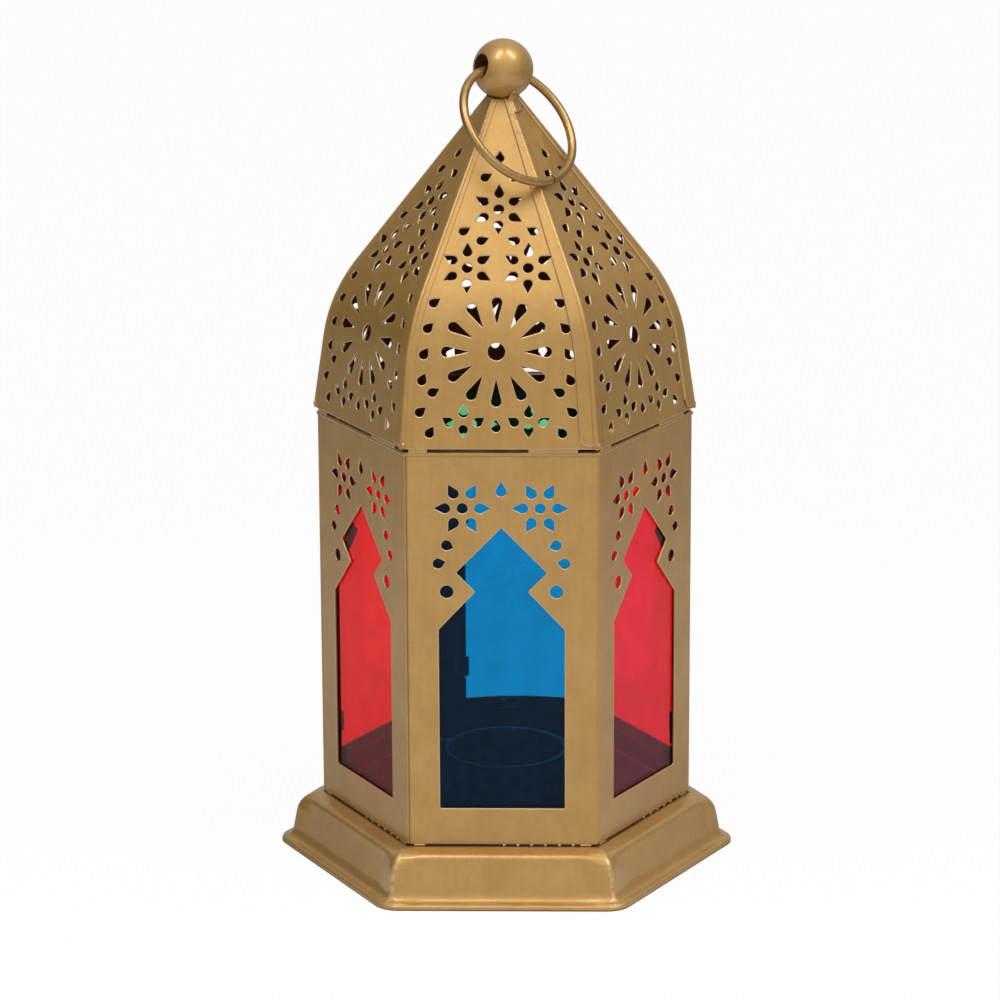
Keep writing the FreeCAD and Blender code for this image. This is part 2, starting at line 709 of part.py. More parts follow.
def dome_inside(outer, width):
    """All the space inside the gore's outer line moved outwards, run past both its ends."""
    points, radii = dome_path()
    foot, knee, top = points
    below = (foot - knee).normalize() * TOOL_SPARE
    above = (top - knee).normalize() * TOOL_SPARE
    points = [foot + below, knee, top + above]
    points, radii = moved_path(points, radii, -outer)
    far = -size("panel_width")
    curves = rounded_path(points, radii)
    last = curves[-1].EndPoint
    first = curves[0].StartPoint
    corners = [last, Vector(far, last.y, 0), Vector(far, first.y, 0), first]
    curves += [Part.LineSegment(a, b) for a, b in zip(corners, corners[1:])]
    return front_slab(curves, width)


def seam_mask():
    """Space of the seam's lap at the right-hand margin of the front gore, cut in plan and in front view."""
    (foot, knee, top), radii = dome_path()
    foot_edge = foot.x * math.tan(HALF_TURN) - size("seam_lap_foot")
    top_edge = top.x * math.tan(HALF_TURN) - size("seam_lap_top")
    slope = (foot_edge - top_edge) / (foot.x - top.x)
    outer = foot.x + TOOL_SPARE
    inner = top.x - TOOL_SPARE
    right = outer
    plan = [
        Vector(foot_edge + slope * TOOL_SPARE, -outer, 0),
        Vector(right, -outer, 0),
        Vector(right, -inner, 0),
        Vector(top_edge - slope * TOOL_SPARE, -inner, 0),
    ]
    low = DOME_FOOT + size("seam_rise")
    high = DOME_TOP + TOOL_SPARE
    wedge = Part.Face(Part.makePolygon(plan + [plan[0]])).extrude(UP * high)
    left = -right
    bend = low + size("seam_round")
    upper = [(right, high), (left, high), (left, bend)]
    lower = [(foot_edge, bend), (foot_edge, low), (right, low)]
    corners = [Vector(x, y, 0) for x, y in upper + lower]
    front = face_of(rounded_path(corners + [corners[0]], [0, 0, 0, size("seam_round"), 0]))
    front.Placement = Placement(MIDDLE, Rotation(Vector(1, 0, 0), 90))
    return wedge.common(front.extrude(Vector(0, -2 * outer, 0)))


def gore_blank():
    """The front gore before it is pierced: sheet, and the lap folded over its left-hand neighbour."""
    width = 4 * size("panel_width")
    gap = size("lap_gap")
    sheet_part = dome_slab(0, -GAUGE, width)
    sheet_part = sheet_part.common(turned(dome_inside(-GAUGE - gap, width), 1))
    sheet_part = sheet_part.common(turned(dome_inside(GAUGE + gap, width), -1))
    lap = dome_slab(GAUGE + gap, gap, width).common(seam_mask())
    lap = turned(lap, -1).common(dome_inside(0, width))
    return sheet_part.fuse(lap).removeSplitter()


def dome_place(across, up):
    """Place on the front gore's sheet at a distance up from the foot, facing outwards."""
    left = up
    for curve in rounded_path(*dome_path()):
        if left <= curve.length() or curve.EndPoint.y >= DOME_TOP:
            break
        left -= curve.length()
    parameter = curve.parameterAtDistance(left, curve.FirstParameter)
    point = curve.value(parameter)
    along = curve.tangent(parameter)[0]
    shift = (fold_width(up) - lap_width(up)) / 2
    place = Vector(across + shift, -point.x, point.y)
    upwards = Vector(0, -along.x, along.y)
    right = Vector(1, 0, 0)
    return Placement(place, Rotation(right, upwards, right.cross(upwards), "XYZ")), point.x


def dome_length():
    """Length of a gore's sheet along its middle."""
    return sum(curve.length() for curve in rounded_path(*dome_path()))


def lap_width(up):
    """Width of the seam's lap at a distance up from the foot."""
    share = up / dome_length()
    return size("seam_lap_foot") + (size("seam_lap_top") - size("seam_lap_foot")) * share


def fold_width(up):
    """Plain margin beside the fold, drawn in with the lap."""
    return size("fold_margin") * lap_width(up) / size("seam_lap_foot")


def field_half(up):
    """Half the width of the pierced field between the fold and the lap."""
    reach = dome_place(0, up)[1]
    return reach * math.tan(HALF_TURN) - (lap_width(up) + fold_width(up)) / 2


def dome_holes():
    """The dome's pattern: daisy, florets and drops above, a row of crosses at the foot."""
    drop = (size("drop_length"), size("drop_width"))
    petal = (size("dome_petal_length"), size("dome_petal_width"))
    ring = size("dome_floret_ring")
    spread = size("twin_floret_spread")
    twins = size("daisy_height") + size("twin_floret_rise")
    crown = twins + size("crown_floret_rise")
    holes = daisy_holes()
    for across, up in ((-spread, twins), (spread, twins), (0, crown)):
        holes += floret(across, up, FLORET_PETALS, UPWARDS, ring, *petal, size("dome_floret_eye"))
    holes += pair(size("inner_drop_spread"), twins + size("inner_drop_rise"), *drop, INNER_DROP_ANGLE)
    holes += pair(size("side_drop_spread"), twins + size("side_drop_rise"), *drop, INWARD_DROP_ANGLE)
    holes += pair(size("high_drop_spread"), crown + size("high_drop_rise"), *drop, INWARD_DROP_ANGLE)
    holes.append(Hole(0, crown + size("tip_drop_rise"), *drop, UPWARDS))
    for count in range(EDGE_DROPS):
        up = size("edge_drop_height") + count * size("edge_drop_pitch")
        angle = FIRST_EDGE_ANGLE + EDGE_ANGLE_STEP * count
        holes += pair(field_half(up) - size("edge_drop_inset"), up, *drop, angle)
    return holes + foot_holes()


def daisy_holes():
    """Long petals about a round eye, their points inwards."""
    daisy = size("daisy_height")
    ring = size("daisy_ring")
    holes = [eye(0, daisy, size("daisy_eye"))]
    for count in range(DAISY_PETALS):
        angle = 360 * count / DAISY_PETALS
        x = ring * math.cos(math.radians(angle))
        y = daisy + ring * math.sin(math.radians(angle))
        holes.append(Hole(x, y, size("daisy_petal_length"), size("daisy_petal_width"), angle + 180))
    return holes


def foot_holes():
    """The row at the dome's foot: two crosses of drops, a middle drop and the edge's last drops."""
    drop = (size("drop_length"), size("drop_width"))
    row = size("foot_row_height")
    cross = size("cross_spread")
    rise = size("cross_rise")
    holes = [Hole(0, size("centre_drop_height"), *drop, UPWARDS)]
    for across in (-cross, cross):
        holes.append(Hole(across, row + rise, *drop, UPWARDS))
        holes.append(Hole(across, row - rise, *drop, DOWNWARDS))
    holes += pair(cross + size("cross_reach"), row, *drop, CROSS_OUTER_ANGLE)
    holes += pair(cross - size("cross_reach"), row, *drop, CROSS_INNER_ANGLE)
    holes += pair(size("corner_drop_spread"), size("corner_drop_height"), *drop, INWARD_DROP_ANGLE)
    outer = size("outer_drop_height")
    holes += pair(field_half(outer) - size("edge_drop_inset"), outer, *drop, OUTER_DROP_ANGLE)
    holes += pair(size("last_drop_spread"), size("last_drop_height"), *drop, LAST_DROP_ANGLE)
    return holes


def build_dome():
    """Six pierced gores round the axis."""
    pins = [punch(hole, dome_place(hole.across, hole.up)[0], PIERCE_DEPTH) for hole in dome_holes()]
    blank = shaped("gore_blank", gore_blank())
    front = cut("gore_front", blank, shaped("gore_pins", Part.makeCompound(pins)))
    keep(front, "gore_front")
    for count, label in enumerate(SIDE_NAMES):
        if count:
            turned_piece(front, f"gore_{label}", count)


# Tabs and beads that join base, sides and dome

def build_joints():
    """Solder beads under the sides, and tabs between the sides and the dome's foot."""
    half = size("panel_width") / 2
    spans = [(count * size("bead_pitch"), size("bead_width")) for count in range(BEADS_PER_SIDE)]
    inset = size("end_bead_inset")
    width = size("end_bead_width")
    spans += [(-half + inset, width), (half - inset - width, width)]
    low = size("base_height")
    beads = []
    for left, width in spans:
        beads.append(block(Vector(left, -APOTHEM, low), Vector(left + width, -INNER_FACE, PANEL_FOOT)))
    width = size("long_tab_width")
    spans = [(half - size("long_tab_inset") - width, width)]
    spans.append((-half + size("tab_inset"), size("tab_width")))
    outer = APOTHEM + size("dome_overhang") - GAUGE / 2
    inner = APOTHEM - size("panel_lip") / 2
    high = DOME_FOOT - GAUGE * math.sin(math.radians(size("wall_angle")))
    tabs = []
    for left, width in spans:
        tabs.append(block(Vector(left, -outer, PANEL_TOP), Vector(left + width, -inner, high)))
    for label, pieces in (("foot_beads", beads), ("dome_tabs", tabs)):
        ring = [turned(piece, count) for piece in pieces for count in range(SIDES)]
        keep(shaped(label, Part.makeCompound(ring)), label)


# Candle cup and its rivet

# Peened heads: the flat's share of the head's radius, and the edge's share of its height.
HEAD_FLAT = 0.6
HEAD_EDGE = 0.4


def peened_head(radius, seat, height):
    """Half outline of a peened head, from its edge on the seat to the middle of its flat."""
    edge = seat + HEAD_EDGE * height
    crown = seat + height
    return [(radius, seat), (radius, edge), (HEAD_FLAT * radius, crown), (0, crown)]


def build_cup():
    """Straight cup for a small candle, riveted to the middle of the base."""
    floor = size("base_height")
    wall = size("cup_radius") + GAUGE
    high = floor + size("cup_height") - GAUGE
    points = [
        Vector(size("rivet_radius"), floor, 0),
        Vector(wall, floor, 0),
        Vector(wall, high, 0),
        Vector(size("cup_radius") + size("cup_rim_width"), high, 0),
    ]
    section = sheet_section(points, [size("cup_bend"), size("cup_rim_bend")], 0, GAUGE)
    cup = new_body("candle_cup")
    revolve(cup, sketch_on(cup, "XZ_Plane", "cup_section", [section]), "V_Axis")
    keep(cup, "candle_cup")
    shank = size("rivet_radius")
    top = floor + GAUGE
    under = floor - size("base_gauge")
    lower = peened_head(size("rivet_head"), under, -size("rivet_head_height"))
    upper = peened_head(size("rivet_head"), top, size("rivet_head_height"))
    corners = lower[::-1] + [(shank, under), (shank, top)] + upper
    rivet = new_body("cup_rivet")
    revolve(rivet, sketch_on(rivet, "XZ_Plane", "rivet_section", [outline(*corners)]), "V_Axis")
    keep(rivet, "cup_rivet")


# Finial ball on its stem, and the carrying ring

BALL_RISE = math.sqrt(size("ball_radius") ** 2 - size("crown_opening") ** 2)
BALL_HEIGHT = DOME_TOP + size("ball_seat_gap") + BALL_RISE
BALL_HEIGHT_CELLS = (
    "dims.base_height + dims.foot_slit + dims.panel_height + dims.crown_slit + dims.dome_height"
    " + dims.ball_seat_gap + sqrt(dims.ball_radius ^ 2 - dims.crown_opening ^ 2)"
)


def primitive(kind, label, **cells):
    """A Part primitive with its sizes bound to the sheet."""
    item = document.addObject(f"Part::{kind}", label)
    for name, cell in cells.items():
        item.setExpression(name.replace("__", "."), cell)
    document.recompute()
    return item


def build_finial():
    """Ball with a cross hole for the ring, its stem, and the disc that the stem is peened over."""
    ball = primitive("Sphere", "ball", Radius="dims.ball_radius", Placement__Base__z=BALL_HEIGHT_CELLS)
    bore = primitive("Cylinder", "cross_bore", Radius="dims.ball_bore", Height="dims.ball_radius * 4")
    axis = Rotation(UP, ring_axis())
    bore.Placement = Placement(Vector(0, 0, BALL_HEIGHT) - ring_axis() * (2 * size("ball_radius")), axis)
    drilled = cut("drilled_ball", ball, bore)
    stem_top = BALL_HEIGHT - size("ball_bore") - size("stem_wall")
    socket = primitive("Cylinder", "stem_socket", Radius="dims.stem_radius", Height="dims.ball_radius")
    socket.Placement = Placement(Vector(0, 0, stem_top - size("ball_radius")), Rotation())
    keep(cut("finial_ball", drilled, socket), "finial_ball")
    disc_low = DOME_TOP - size("disc_drop")
    disc_high = disc_low + size("disc_gauge")
    cone = math.radians(size("cone_angle"))
    room = size("crown_opening") + (DOME_TOP - disc_high) * math.tan(cone) - GAUGE / math.cos(cone)
    shank = size("stem_radius")
    disc = new_body("crown_disc")
    plan = [ring_outline(room - size("lap_gap")), ring_outline(shank)]
    pad(disc, sketch_on(disc, "XY_Plane", "disc_plan", plan), "dims.disc_gauge")
    disc.Placement.Base.z = disc_low
    keep(disc, "crown_disc")
    head = peened_head(size("stem_head"), disc_low, -size("stem_head_height"))
    corners = head[::-1] + [(shank, disc_low), (shank, stem_top), (0, stem_top)]
    stem = new_body("finial_stem")
    revolve(stem, sketch_on(stem, "XZ_Plane", "stem_section", [outline(*corners)]), "V_Axis")
    keep(stem, "finial_stem")


def ring_axis():
    """Direction of the ball's cross hole, about which the ring swings."""
    turn = math.radians(size("bore_angle"))
    dip = math.radians(size("bore_dip_angle"))
    return Vector(math.cos(turn) * math.cos(dip), math.sin(turn) * math.cos(dip), -math.sin(dip))


def ring_hang():
    """Direction from the ball to the middle of the ring, leaning on the dome's ridges."""
    ridge = math.atan(math.tan(math.radians(size("cone_angle"))) / math.cos(HALF_TURN))
    lean = ridge + math.radians(size("ring_rest_angle"))
    sideways = ring_axis().cross(UP).normalize()
    downwards = ring_axis().cross(sideways)
    return sideways * math.sin(lean) + downwards * math.cos(lean)


def build_ring():
    """Split carrying ring of round wire, hung through the ball and resting on the dome."""
    mouth = math.sqrt(size("ball_radius") ** 2 - size("ball_bore") ** 2)
    slack = size("ball_bore") - size("wire_radius") - size("ring_hang_gap")
    drop = math.sqrt(size("ring_radius") ** 2 - mouth ** 2) + slack
    hang = ring_hang()
    normal = hang.cross(ring_axis())
    middle = Vector(0, 0, BALL_HEIGHT) + hang * drop
    ring = primitive("Torus", "carry_ring", Radius1="dims.ring_radius", Radius2="dims.wire_radius",
                     Angle3="360 - dims.ring_split_angle")
    split = Rotation(normal, size("split_place_angle")).multVec(hang)
    ring.Placement = Placement(middle, Rotation(split, normal.cross(split), normal, "XYZ"))
    keep(ring, "carry_ring")


# Door in the rear side: built as if in the front side, then turned to the rear

HINGE_X = DOORWAY_HINGE_EDGE - size("knuckle_offset")
HINGE_Y = -APOTHEM - size("door_gap") - size("knuckle_radius")
DOOR_BACK = -APOTHEM - size("door_gap")
DOOR_FACE = DOOR_BACK - GAUGE
KNOB_X = DOORWAY_LATCH_EDGE - size("knob_inset")


def hinge_spans():
    """Height of each hinge's fixed knuckle and of its turning knuckle, towards the door's middle."""
    low, high = doorway_heights()
    tall = size("knuckle_height")
    step = tall + size("knuckle_gap")
    lower = PANEL_FOOT + low + size("hinge_end")
    upper = PANEL_FOOT + high - size("hinge_end") - tall
    return [(lower, lower + step), (upper, upper - step)]


def knuckle(low, bore):
    """A rolled hinge knuckle about the hinge line."""
    tall = size("knuckle_height")
    place = Vector(HINGE_X, HINGE_Y, low)
    barrel = Part.makeCylinder(size("knuckle_radius"), tall, place)
    return barrel, Part.makeCylinder(bore, tall, place)


def build_hinges():
    """Fixed knuckles on the rear side, and their pins."""
    fixed = []
    pins = []
    tall = size("knuckle_height")
    head = size("pin_head_height")
    for still, moving in hinge_spans():
        barrel, bore = knuckle(still, size("pin_radius") + size("pin_fit"))
        near = Vector(HINGE_X - size("knuckle_plate"), -APOTHEM - GAUGE, still)
        plate = block(near, Vector(HINGE_X, -APOTHEM, still + tall))
        fixed.append(barrel.fuse(plate).cut(bore).removeSplitter())
        low = min(still, moving) - size("knuckle_gap")
        high = max(still, moving) + tall + size("knuckle_gap")
        place = Vector(HINGE_X, HINGE_Y, low)
        pin = Part.makeCylinder(size("pin_radius"), high - low, place)
        ends = [Vector(HINGE_X, HINGE_Y, low - head), Vector(HINGE_X, HINGE_Y, high)]
        heads = [Part.makeCylinder(size("pin_head"), head, end) for end in ends]
        pins.append(pin.multiFuse(heads).removeSplitter())
    keep(shaped("hinge_knuckles", turned(Part.makeCompound(fixed), REAR)), "hinge_knuckles")
    keep(shaped("hinge_pins", turned(Part.makeCompound(pins), REAR)), "hinge_pins")


def door_window():
    """Outline of the door's window: left, right, lower and upper edge."""
    low, high = doorway_heights()
    left = DOORWAY_HINGE_EDGE + size("door_hinge_stile")
    right = DOORWAY_LATCH_EDGE - size("door_latch_stile")
    return left, right, PANEL_FOOT + low + size("door_rail"), PANEL_FOOT + high - size("door_rail")


def build_door():
    """Door leaf with its window and turning knuckles, its clear pane and the pane's clips."""
    low, high = doorway_heights()
    lap = size("door_lap")
    near = HINGE_X + size("knuckle_radius") + size("knuckle_gap")
    foot = Vector(near, DOOR_FACE, PANEL_FOOT + low - lap)
    leaf = block(foot, Vector(DOORWAY_LATCH_EDGE + lap, DOOR_BACK, PANEL_FOOT + high + lap))
    left, right, sill, head = door_window()
    crest = Vector((left + right) / 2, sill + size("door_sill_rise"), 0)
    corners = [(right, sill), (right, head), (left, head), (left, sill)]
    corners = [Vector(x, y, 0) for x, y in corners]
    bowed = [Part.Arc(corners[-1], crest, corners[0])]
    bowed += [Part.LineSegment(start, end) for start, end in zip(corners, corners[1:])]
    window = face_of(bowed)
    window.Placement = Placement(MIDDLE, Rotation(Vector(1, 0, 0), 90))
    leaf = leaf.cut(window.extrude(Vector(0, -2 * APOTHEM, 0)))
    bores = []
    for still, moving in hinge_spans():
        barrel, bore = knuckle(moving, size("pin_radius") + size("pin_play"))
        tail_top = Vector(near, DOOR_BACK, moving + size("knuckle_height"))
        tail = block(Vector(HINGE_X, DOOR_FACE, moving), tail_top)
        leaf = leaf.fuse(barrel.fuse(tail))
        bores.append(bore)
    inside = Vector(KNOB_X, DOOR_BACK + GAUGE, latch_height())
    shank = size("shank_radius") + size("shank_play")
    shank = Part.makeCylinder(shank, TOOL_SPARE, inside, Vector(0, -1, 0))
    leaf = leaf.cut(Part.makeCompound(bores + [shank])).removeSplitter()
    keep(shaped("door_leaf", turned(leaf, REAR)), "door_leaf")
    lap = size("door_pane_lap")
    face = -DOOR_BACK - size("pane_gap")
    pane = pane_shape(left - lap, right + lap, sill - lap, head + lap, face)
    keep(shaped("door_pane", turned(pane, REAR)), "door_pane")
    back = face - size("pane_gauge")
    clips = []
    for height in (sill - lap + size("clip_inset"), head + lap - size("clip_inset")):
        clips.append(clip_shape(right + lap, height, -DOOR_BACK, back))
    for edge, angle in ((head + lap, -90), (lap - sill, 90)):
        clip = clip_shape(edge, 0, -DOOR_BACK, back)
        clip.rotate(MIDDLE, Vector(0, 1, 0), angle)
        clips.append(clip)
    keep(shaped("door_pane_clips", turned(Part.makeCompound(clips), REAR)), "door_pane_clips")


# Top of the knob's neck, and the two ends of its full width, as shares of its length.
KNOB_SHARES = (0.3, 0.5, 0.8)


def latch_height():
    """Height of the latch's axis: the middle of the doorway."""
    return PANEL_FOOT + sum(doorway_heights()) / 2


def build_latch():
    """Turning knob on the door, and the tongue that it swings behind the doorway's edge."""
    neck = size("knob_neck")
    round_part = size("knob_radius")
    length = size("knob_length")
    shank = size("shank_radius")
    start = -DOOR_FACE + size("knob_gap")
    tongue_face = -INNER_FACE + size("tongue_gap")
    axis = Vector(KNOB_X, tongue_face, latch_height())
    end = -tongue_face - GAUGE - size("shank_end")
    neck_top, bulge_low, bulge_high = [start + share * length for share in KNOB_SHARES]
    tip = start + length
    corners = [
        (0, end), (shank, end), (shank, start), (neck, start), (neck, neck_top), (round_part, bulge_low),
        (round_part, bulge_high), (HEAD_FLAT * round_part, tip), (0, tip),
    ]
    face = face_of(outline(*corners))
    face.rotate(MIDDLE, Vector(1, 0, 0), 180)
    knob = face.revolve(MIDDLE, Vector(0, 1, 0), 360)
    knob.translate(Vector(axis.x, 0, axis.z))
    keep(shaped("latch_knob", turned(knob, REAR)), "latch_knob")
    half = size("tongue_width") / 2
    reach = size("tongue_reach")
    plan = [(0, -reach), (half, -reach), (half, half), (-half, half), (-half, -reach)]
    plan = closed_path([Vector(x, y, 0) for x, y in plan], size("tongue_corner"))
    tongue = face_of(plan).cut(face_of(ring_outline(shank)))
    tongue.Placement = Placement(axis, Rotation(Vector(1, 0, 0), 90))
    tongue = tongue.extrude(Vector(0, GAUGE, 0))
    keep(shaped("latch_tongue", turned(tongue, REAR)), "latch_tongue")


for build in (build_base, build_panels, build_panes, build_dome, build_joints, build_cup, build_finial,
              build_ring, build_hinges, build_door, build_latch):
    build()
document.recompute()

for item in document.Objects:
    if "Invalid" in item.State or "Error" in item.State:
        raise ValueError(f"{item.Label} failed: {item.State}")
for item in nodes:
    if item.Shape.isNull() or not item.Shape.isValid():
        raise ValueError(f"{item.Label} has no valid shape")

os.makedirs("parts", exist_ok=True)
for item in nodes:
    item.Shape.exportStep(f"parts/{item.Label}.step")
    print(f"{item.Label}: {len(item.Shape.Solids)} solids, {item.Shape.Volume:.1f} mm3")
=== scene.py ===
# %% [markdown]
# # A pierced candle lantern
# The lantern is folded from thin sheet, pierced with florets, soldered, and sprayed with a satin gold
# paint. Five of its sides hold coloured glass, the sixth holds a small glazed door, and a ball with a
# carrying ring crowns the dome. Its shapes come from the packed CAD model, so this lesson is mostly about
# finishes and light: how paint, wire, tin and hand-made glass are described by numbers, and what a few
# small hand-made pieces add.

# %% Load the lantern
import json
import math

import bpy
import numpy as np
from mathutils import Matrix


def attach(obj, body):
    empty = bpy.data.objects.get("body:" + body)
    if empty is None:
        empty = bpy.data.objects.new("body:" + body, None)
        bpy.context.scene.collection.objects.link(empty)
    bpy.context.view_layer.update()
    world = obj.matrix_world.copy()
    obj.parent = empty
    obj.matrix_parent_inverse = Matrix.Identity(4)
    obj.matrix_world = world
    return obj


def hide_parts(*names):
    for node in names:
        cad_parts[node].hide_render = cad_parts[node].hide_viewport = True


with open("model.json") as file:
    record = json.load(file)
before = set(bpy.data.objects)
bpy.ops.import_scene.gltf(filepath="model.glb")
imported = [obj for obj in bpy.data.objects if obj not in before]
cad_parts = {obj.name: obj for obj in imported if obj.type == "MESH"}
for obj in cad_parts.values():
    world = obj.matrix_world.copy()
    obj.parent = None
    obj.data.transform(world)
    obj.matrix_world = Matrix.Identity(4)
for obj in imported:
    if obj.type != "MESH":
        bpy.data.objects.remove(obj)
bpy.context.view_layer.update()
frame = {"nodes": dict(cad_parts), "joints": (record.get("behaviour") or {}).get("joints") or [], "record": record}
nodes = frame["nodes"]
MM = 0.001

# %% [markdown]
# ## Camera
# The picture was taken from a little above the lantern with a long lens, so upright lines stay nearly
# parallel. A lens can be guessed by eye and then nudged, but the corners of a hexagon fix it: the slant of
# the base's edges gives the height of the camera, and how fast the far edges shrink gives its distance.

# %% Place the camera
CAMERA_PLACE = (30.9 * MM, -1372.9 * MM, 507.9 * MM)
CAMERA_DIP = math.radians(15.69)
CAMERA_TURN = math.radians(1.286)
CAMERA_ROLL = 0.0045
LENS_MM = 151.56
SENSOR_MM = 36.0

camera_data = bpy.data.cameras.new("picture_camera")
camera_data.sensor_width = SENSOR_MM
camera_data.lens = LENS_MM
camera_data.clip_start = 0.05
camera_data.clip_end = 50.0
camera = bpy.data.objects.new("picture_camera", camera_data)
camera.location = CAMERA_PLACE
camera.rotation_euler = (math.pi / 2 - CAMERA_DIP, CAMERA_ROLL, CAMERA_TURN)
bpy.context.scene.collection.objects.link(camera)
bpy.context.scene.camera = camera
print("camera at", [round(value, 3) for value in camera.location])

# %% [markdown]
# ## Shader sums as Python sums
# A material's nodes are easier to read as a formula than as a drawing. A small class wraps one socket, so
# that adding or multiplying two of them adds a Math node. Every other kind of node comes from one method,
# which sets the node's settings first and then sets or links its sockets.

# %% A socket that can be added and multiplied


class Wire:
    """One socket of a material. Operators on it add Math nodes, and make() adds any other node."""

    def __init__(self, tree, socket=None):
        self.tree = tree
        self.socket = socket

    def make(self, kind, settings, sockets, output=0):
        """A node of one kind: its settings, then the values or links of its sockets. Gives one output."""
        node = self.tree.nodes.new(kind)
        for name, value in settings.items():
            setattr(node, name, value)
        for key, value in sockets.items():
            if isinstance(value, Wire):
                self.tree.links.new(value.socket, node.inputs[key])
            else:
                node.inputs[key].default_value = value
        return Wire(self.tree, node.outputs[output]) if node.outputs else None

    def math(self, operation, *others):
        """A Math node on this value and then the others."""
        sockets = dict(enumerate((self, *others)))
        return self.make("ShaderNodeMath", {"operation": operation}, sockets)

    def math_after(self, operation, first):
        """A Math node on a number and then this value, so that a sum such as 1 - mask works."""
        return self.make("ShaderNodeMath", {"operation": operation}, {0: first, 1: self})

    def __add__(self, other):
        return self.math("ADD", other)

    __radd__ = __add__

    def __sub__(self, other):
        return self.math("SUBTRACT", other)

    def __rsub__(self, other):
        return self.math_after("SUBTRACT", other)

    def __mul__(self, other):
        return self.math("MULTIPLY", other)

    __rmul__ = __mul__

    def __truediv__(self, other):
        return self.math("DIVIDE", other)

    def __rtruediv__(self, other):
        return self.math_after("DIVIDE", other)

    def clamped(self):
        """The value kept between nought and one."""
        return self.make("ShaderNodeClamp", {}, {"Value": self})

    def between(self, low, high):
        """Nought below low, one above high, and a soft step from one to the other."""
        settings = {"interpolation_type": "SMOOTHSTEP"}
        sockets = {"Value": self, "From Min": low, "From Max": high}
        return self.make("ShaderNodeMapRange", settings, sockets)

    def noise(self, place, scale, detail):
        """Soft noise about one half, with a feature size of about one over the scale."""
        sockets = {"Vector": place, "Scale": scale, "Detail": detail}
        return self.make("ShaderNodeTexNoise", {}, sockets)

    def blend(self, factor, first, second):
        """A colour between two colours."""
        settings = {"data_type": "RGBA", "clamp_factor": True}
        return self.make("ShaderNodeMix", settings, {0: factor, 6: first, 7: second}, output=2)


print("a socket can:", [name for name in vars(Wire) if not name.startswith("_")])

# %% [markdown]
# ## The start and the end of a finish
# Every finish starts from an empty tree of nodes, reads its place on the lantern in millimetres, and ends
# at the material's output. Colours are written as a paint chart gives them. Blender counts with light
# instead, and since a colour is only numbers, Python converts it and no node has to.

# %% Start a finish, read a place, end a finish


def new_finish(name):
    """An empty material and a Wire to start its sums with."""
    material = bpy.data.materials.new(name)
    material.use_nodes = True
    material.node_tree.nodes.clear()
    return material, Wire(material.node_tree)


def show(start, surface):
    """Send a shader to the material's output."""
    start.make("ShaderNodeOutputMaterial", {}, {"Surface": surface})


def place_mm(start):
    """Object coordinates in millimetres, as one vector."""
    place = start.make("ShaderNodeTexCoord", {}, {}, output="Object")
    sockets = {0: place, "Scale": 1.0 / MM}
    return start.make("ShaderNodeVectorMath", {"operation": "SCALE"}, sockets)


def split(vector):
    """The three parts of a vector."""
    return [vector.make("ShaderNodeSeparateXYZ", {}, {0: vector}, output=axis) for axis in "XYZ"]


def linear(red, green, blue):
    """A colour as a paint chart gives it, from 0 to 255, as the light that Blender counts with."""
    share = np.array((red, green, blue)) / 255.0
    light = np.where(share <= 0.04045, share / 12.92, ((share + 0.055) / 1.055) ** 2.4)
    return (*(float(value) for value in light), 1.0)


print("middle grey as light:", round(linear(128, 128, 128)[0], 3))

# %% [markdown]
# ## One sixth stands for all
# The lantern repeats itself every sixty degrees. If a material folds the angle round the axis into one
# sixth, a streak or a crease that is described once appears on every side. The folded place has three
# parts: across the side, up, and out from the axis. Where each part is stretched by its own number, noise
# on it is drawn out into streaks.

# %% Fold a place into one sixth
SIXTH = math.pi / 3
RIDGE_SLOPE = math.tan(SIXTH / 2)


def from_axis(x, y):
    """Distance from the upright axis: the root of x squared plus y squared."""
    return (x * x + y * y).math("SQRT")


def folded_place(place):
    """Angle from the front, less the nearest whole sixth; then across = r sin(angle), out = r cos(angle)."""
    x, y, z = split(place)
    angle = x.math("ARCTAN2", y * -1.0)
    angle = angle - (angle / SIXTH).math("ROUND") * SIXTH
    radius = from_axis(x, y)
    return radius * angle.math("SINE"), z, radius * angle.math("COSINE")


def stretched(start, place, stretch):
    """A vector from the three parts of a place, each times its own number."""
    parts = dict(enumerate(part * times for part, times in zip(place, stretch)))
    return start.make("ShaderNodeCombineXYZ", {}, parts)


print("half a side is", round(RIDGE_SLOPE, 4), "of its distance from the axis")

# %% [markdown]
# ## Hems and crimps of the dome
# A hem lies beside the left ridge of each gore, and crimps are pressed across the upper end of its
# right-hand lap to hold the fold shut. Both could be modelled, but they are only a fraction of a
# millimetre high. A bump shows them as well, if its height is worked out in millimetres from the folded
# place.

# %% Work out the height of the folds
DOME_FOOT_MM = 155.0
DOME_EDGE_MM = 0.5
DOME_RISE_MM = 105.0
LAP_LOSS = 0.6
FOLD_STEP_MM = 0.6
HEM_WIDTH_MM = 3.1
HEM_HEIGHT_MM = 0.20
LAP_WIDTH_MM = 6.2
CRIMP_LOW_MM = 242.0
CRIMP_FADE_MM = 6.0
CRIMP_PITCH_MM = 5.3
CRIMP_DEPTH_MM = 0.16
CRIMP_PEAK = (0.90, 1.0)


def lap_share(up):
    """The dome's laps and hems narrow upwards: all their width at the foot, four tenths of it at the top."""
    return 1.0 - (up - DOME_FOOT_MM).math("MAXIMUM", 0.0) * (LAP_LOSS / DOME_RISE_MM)


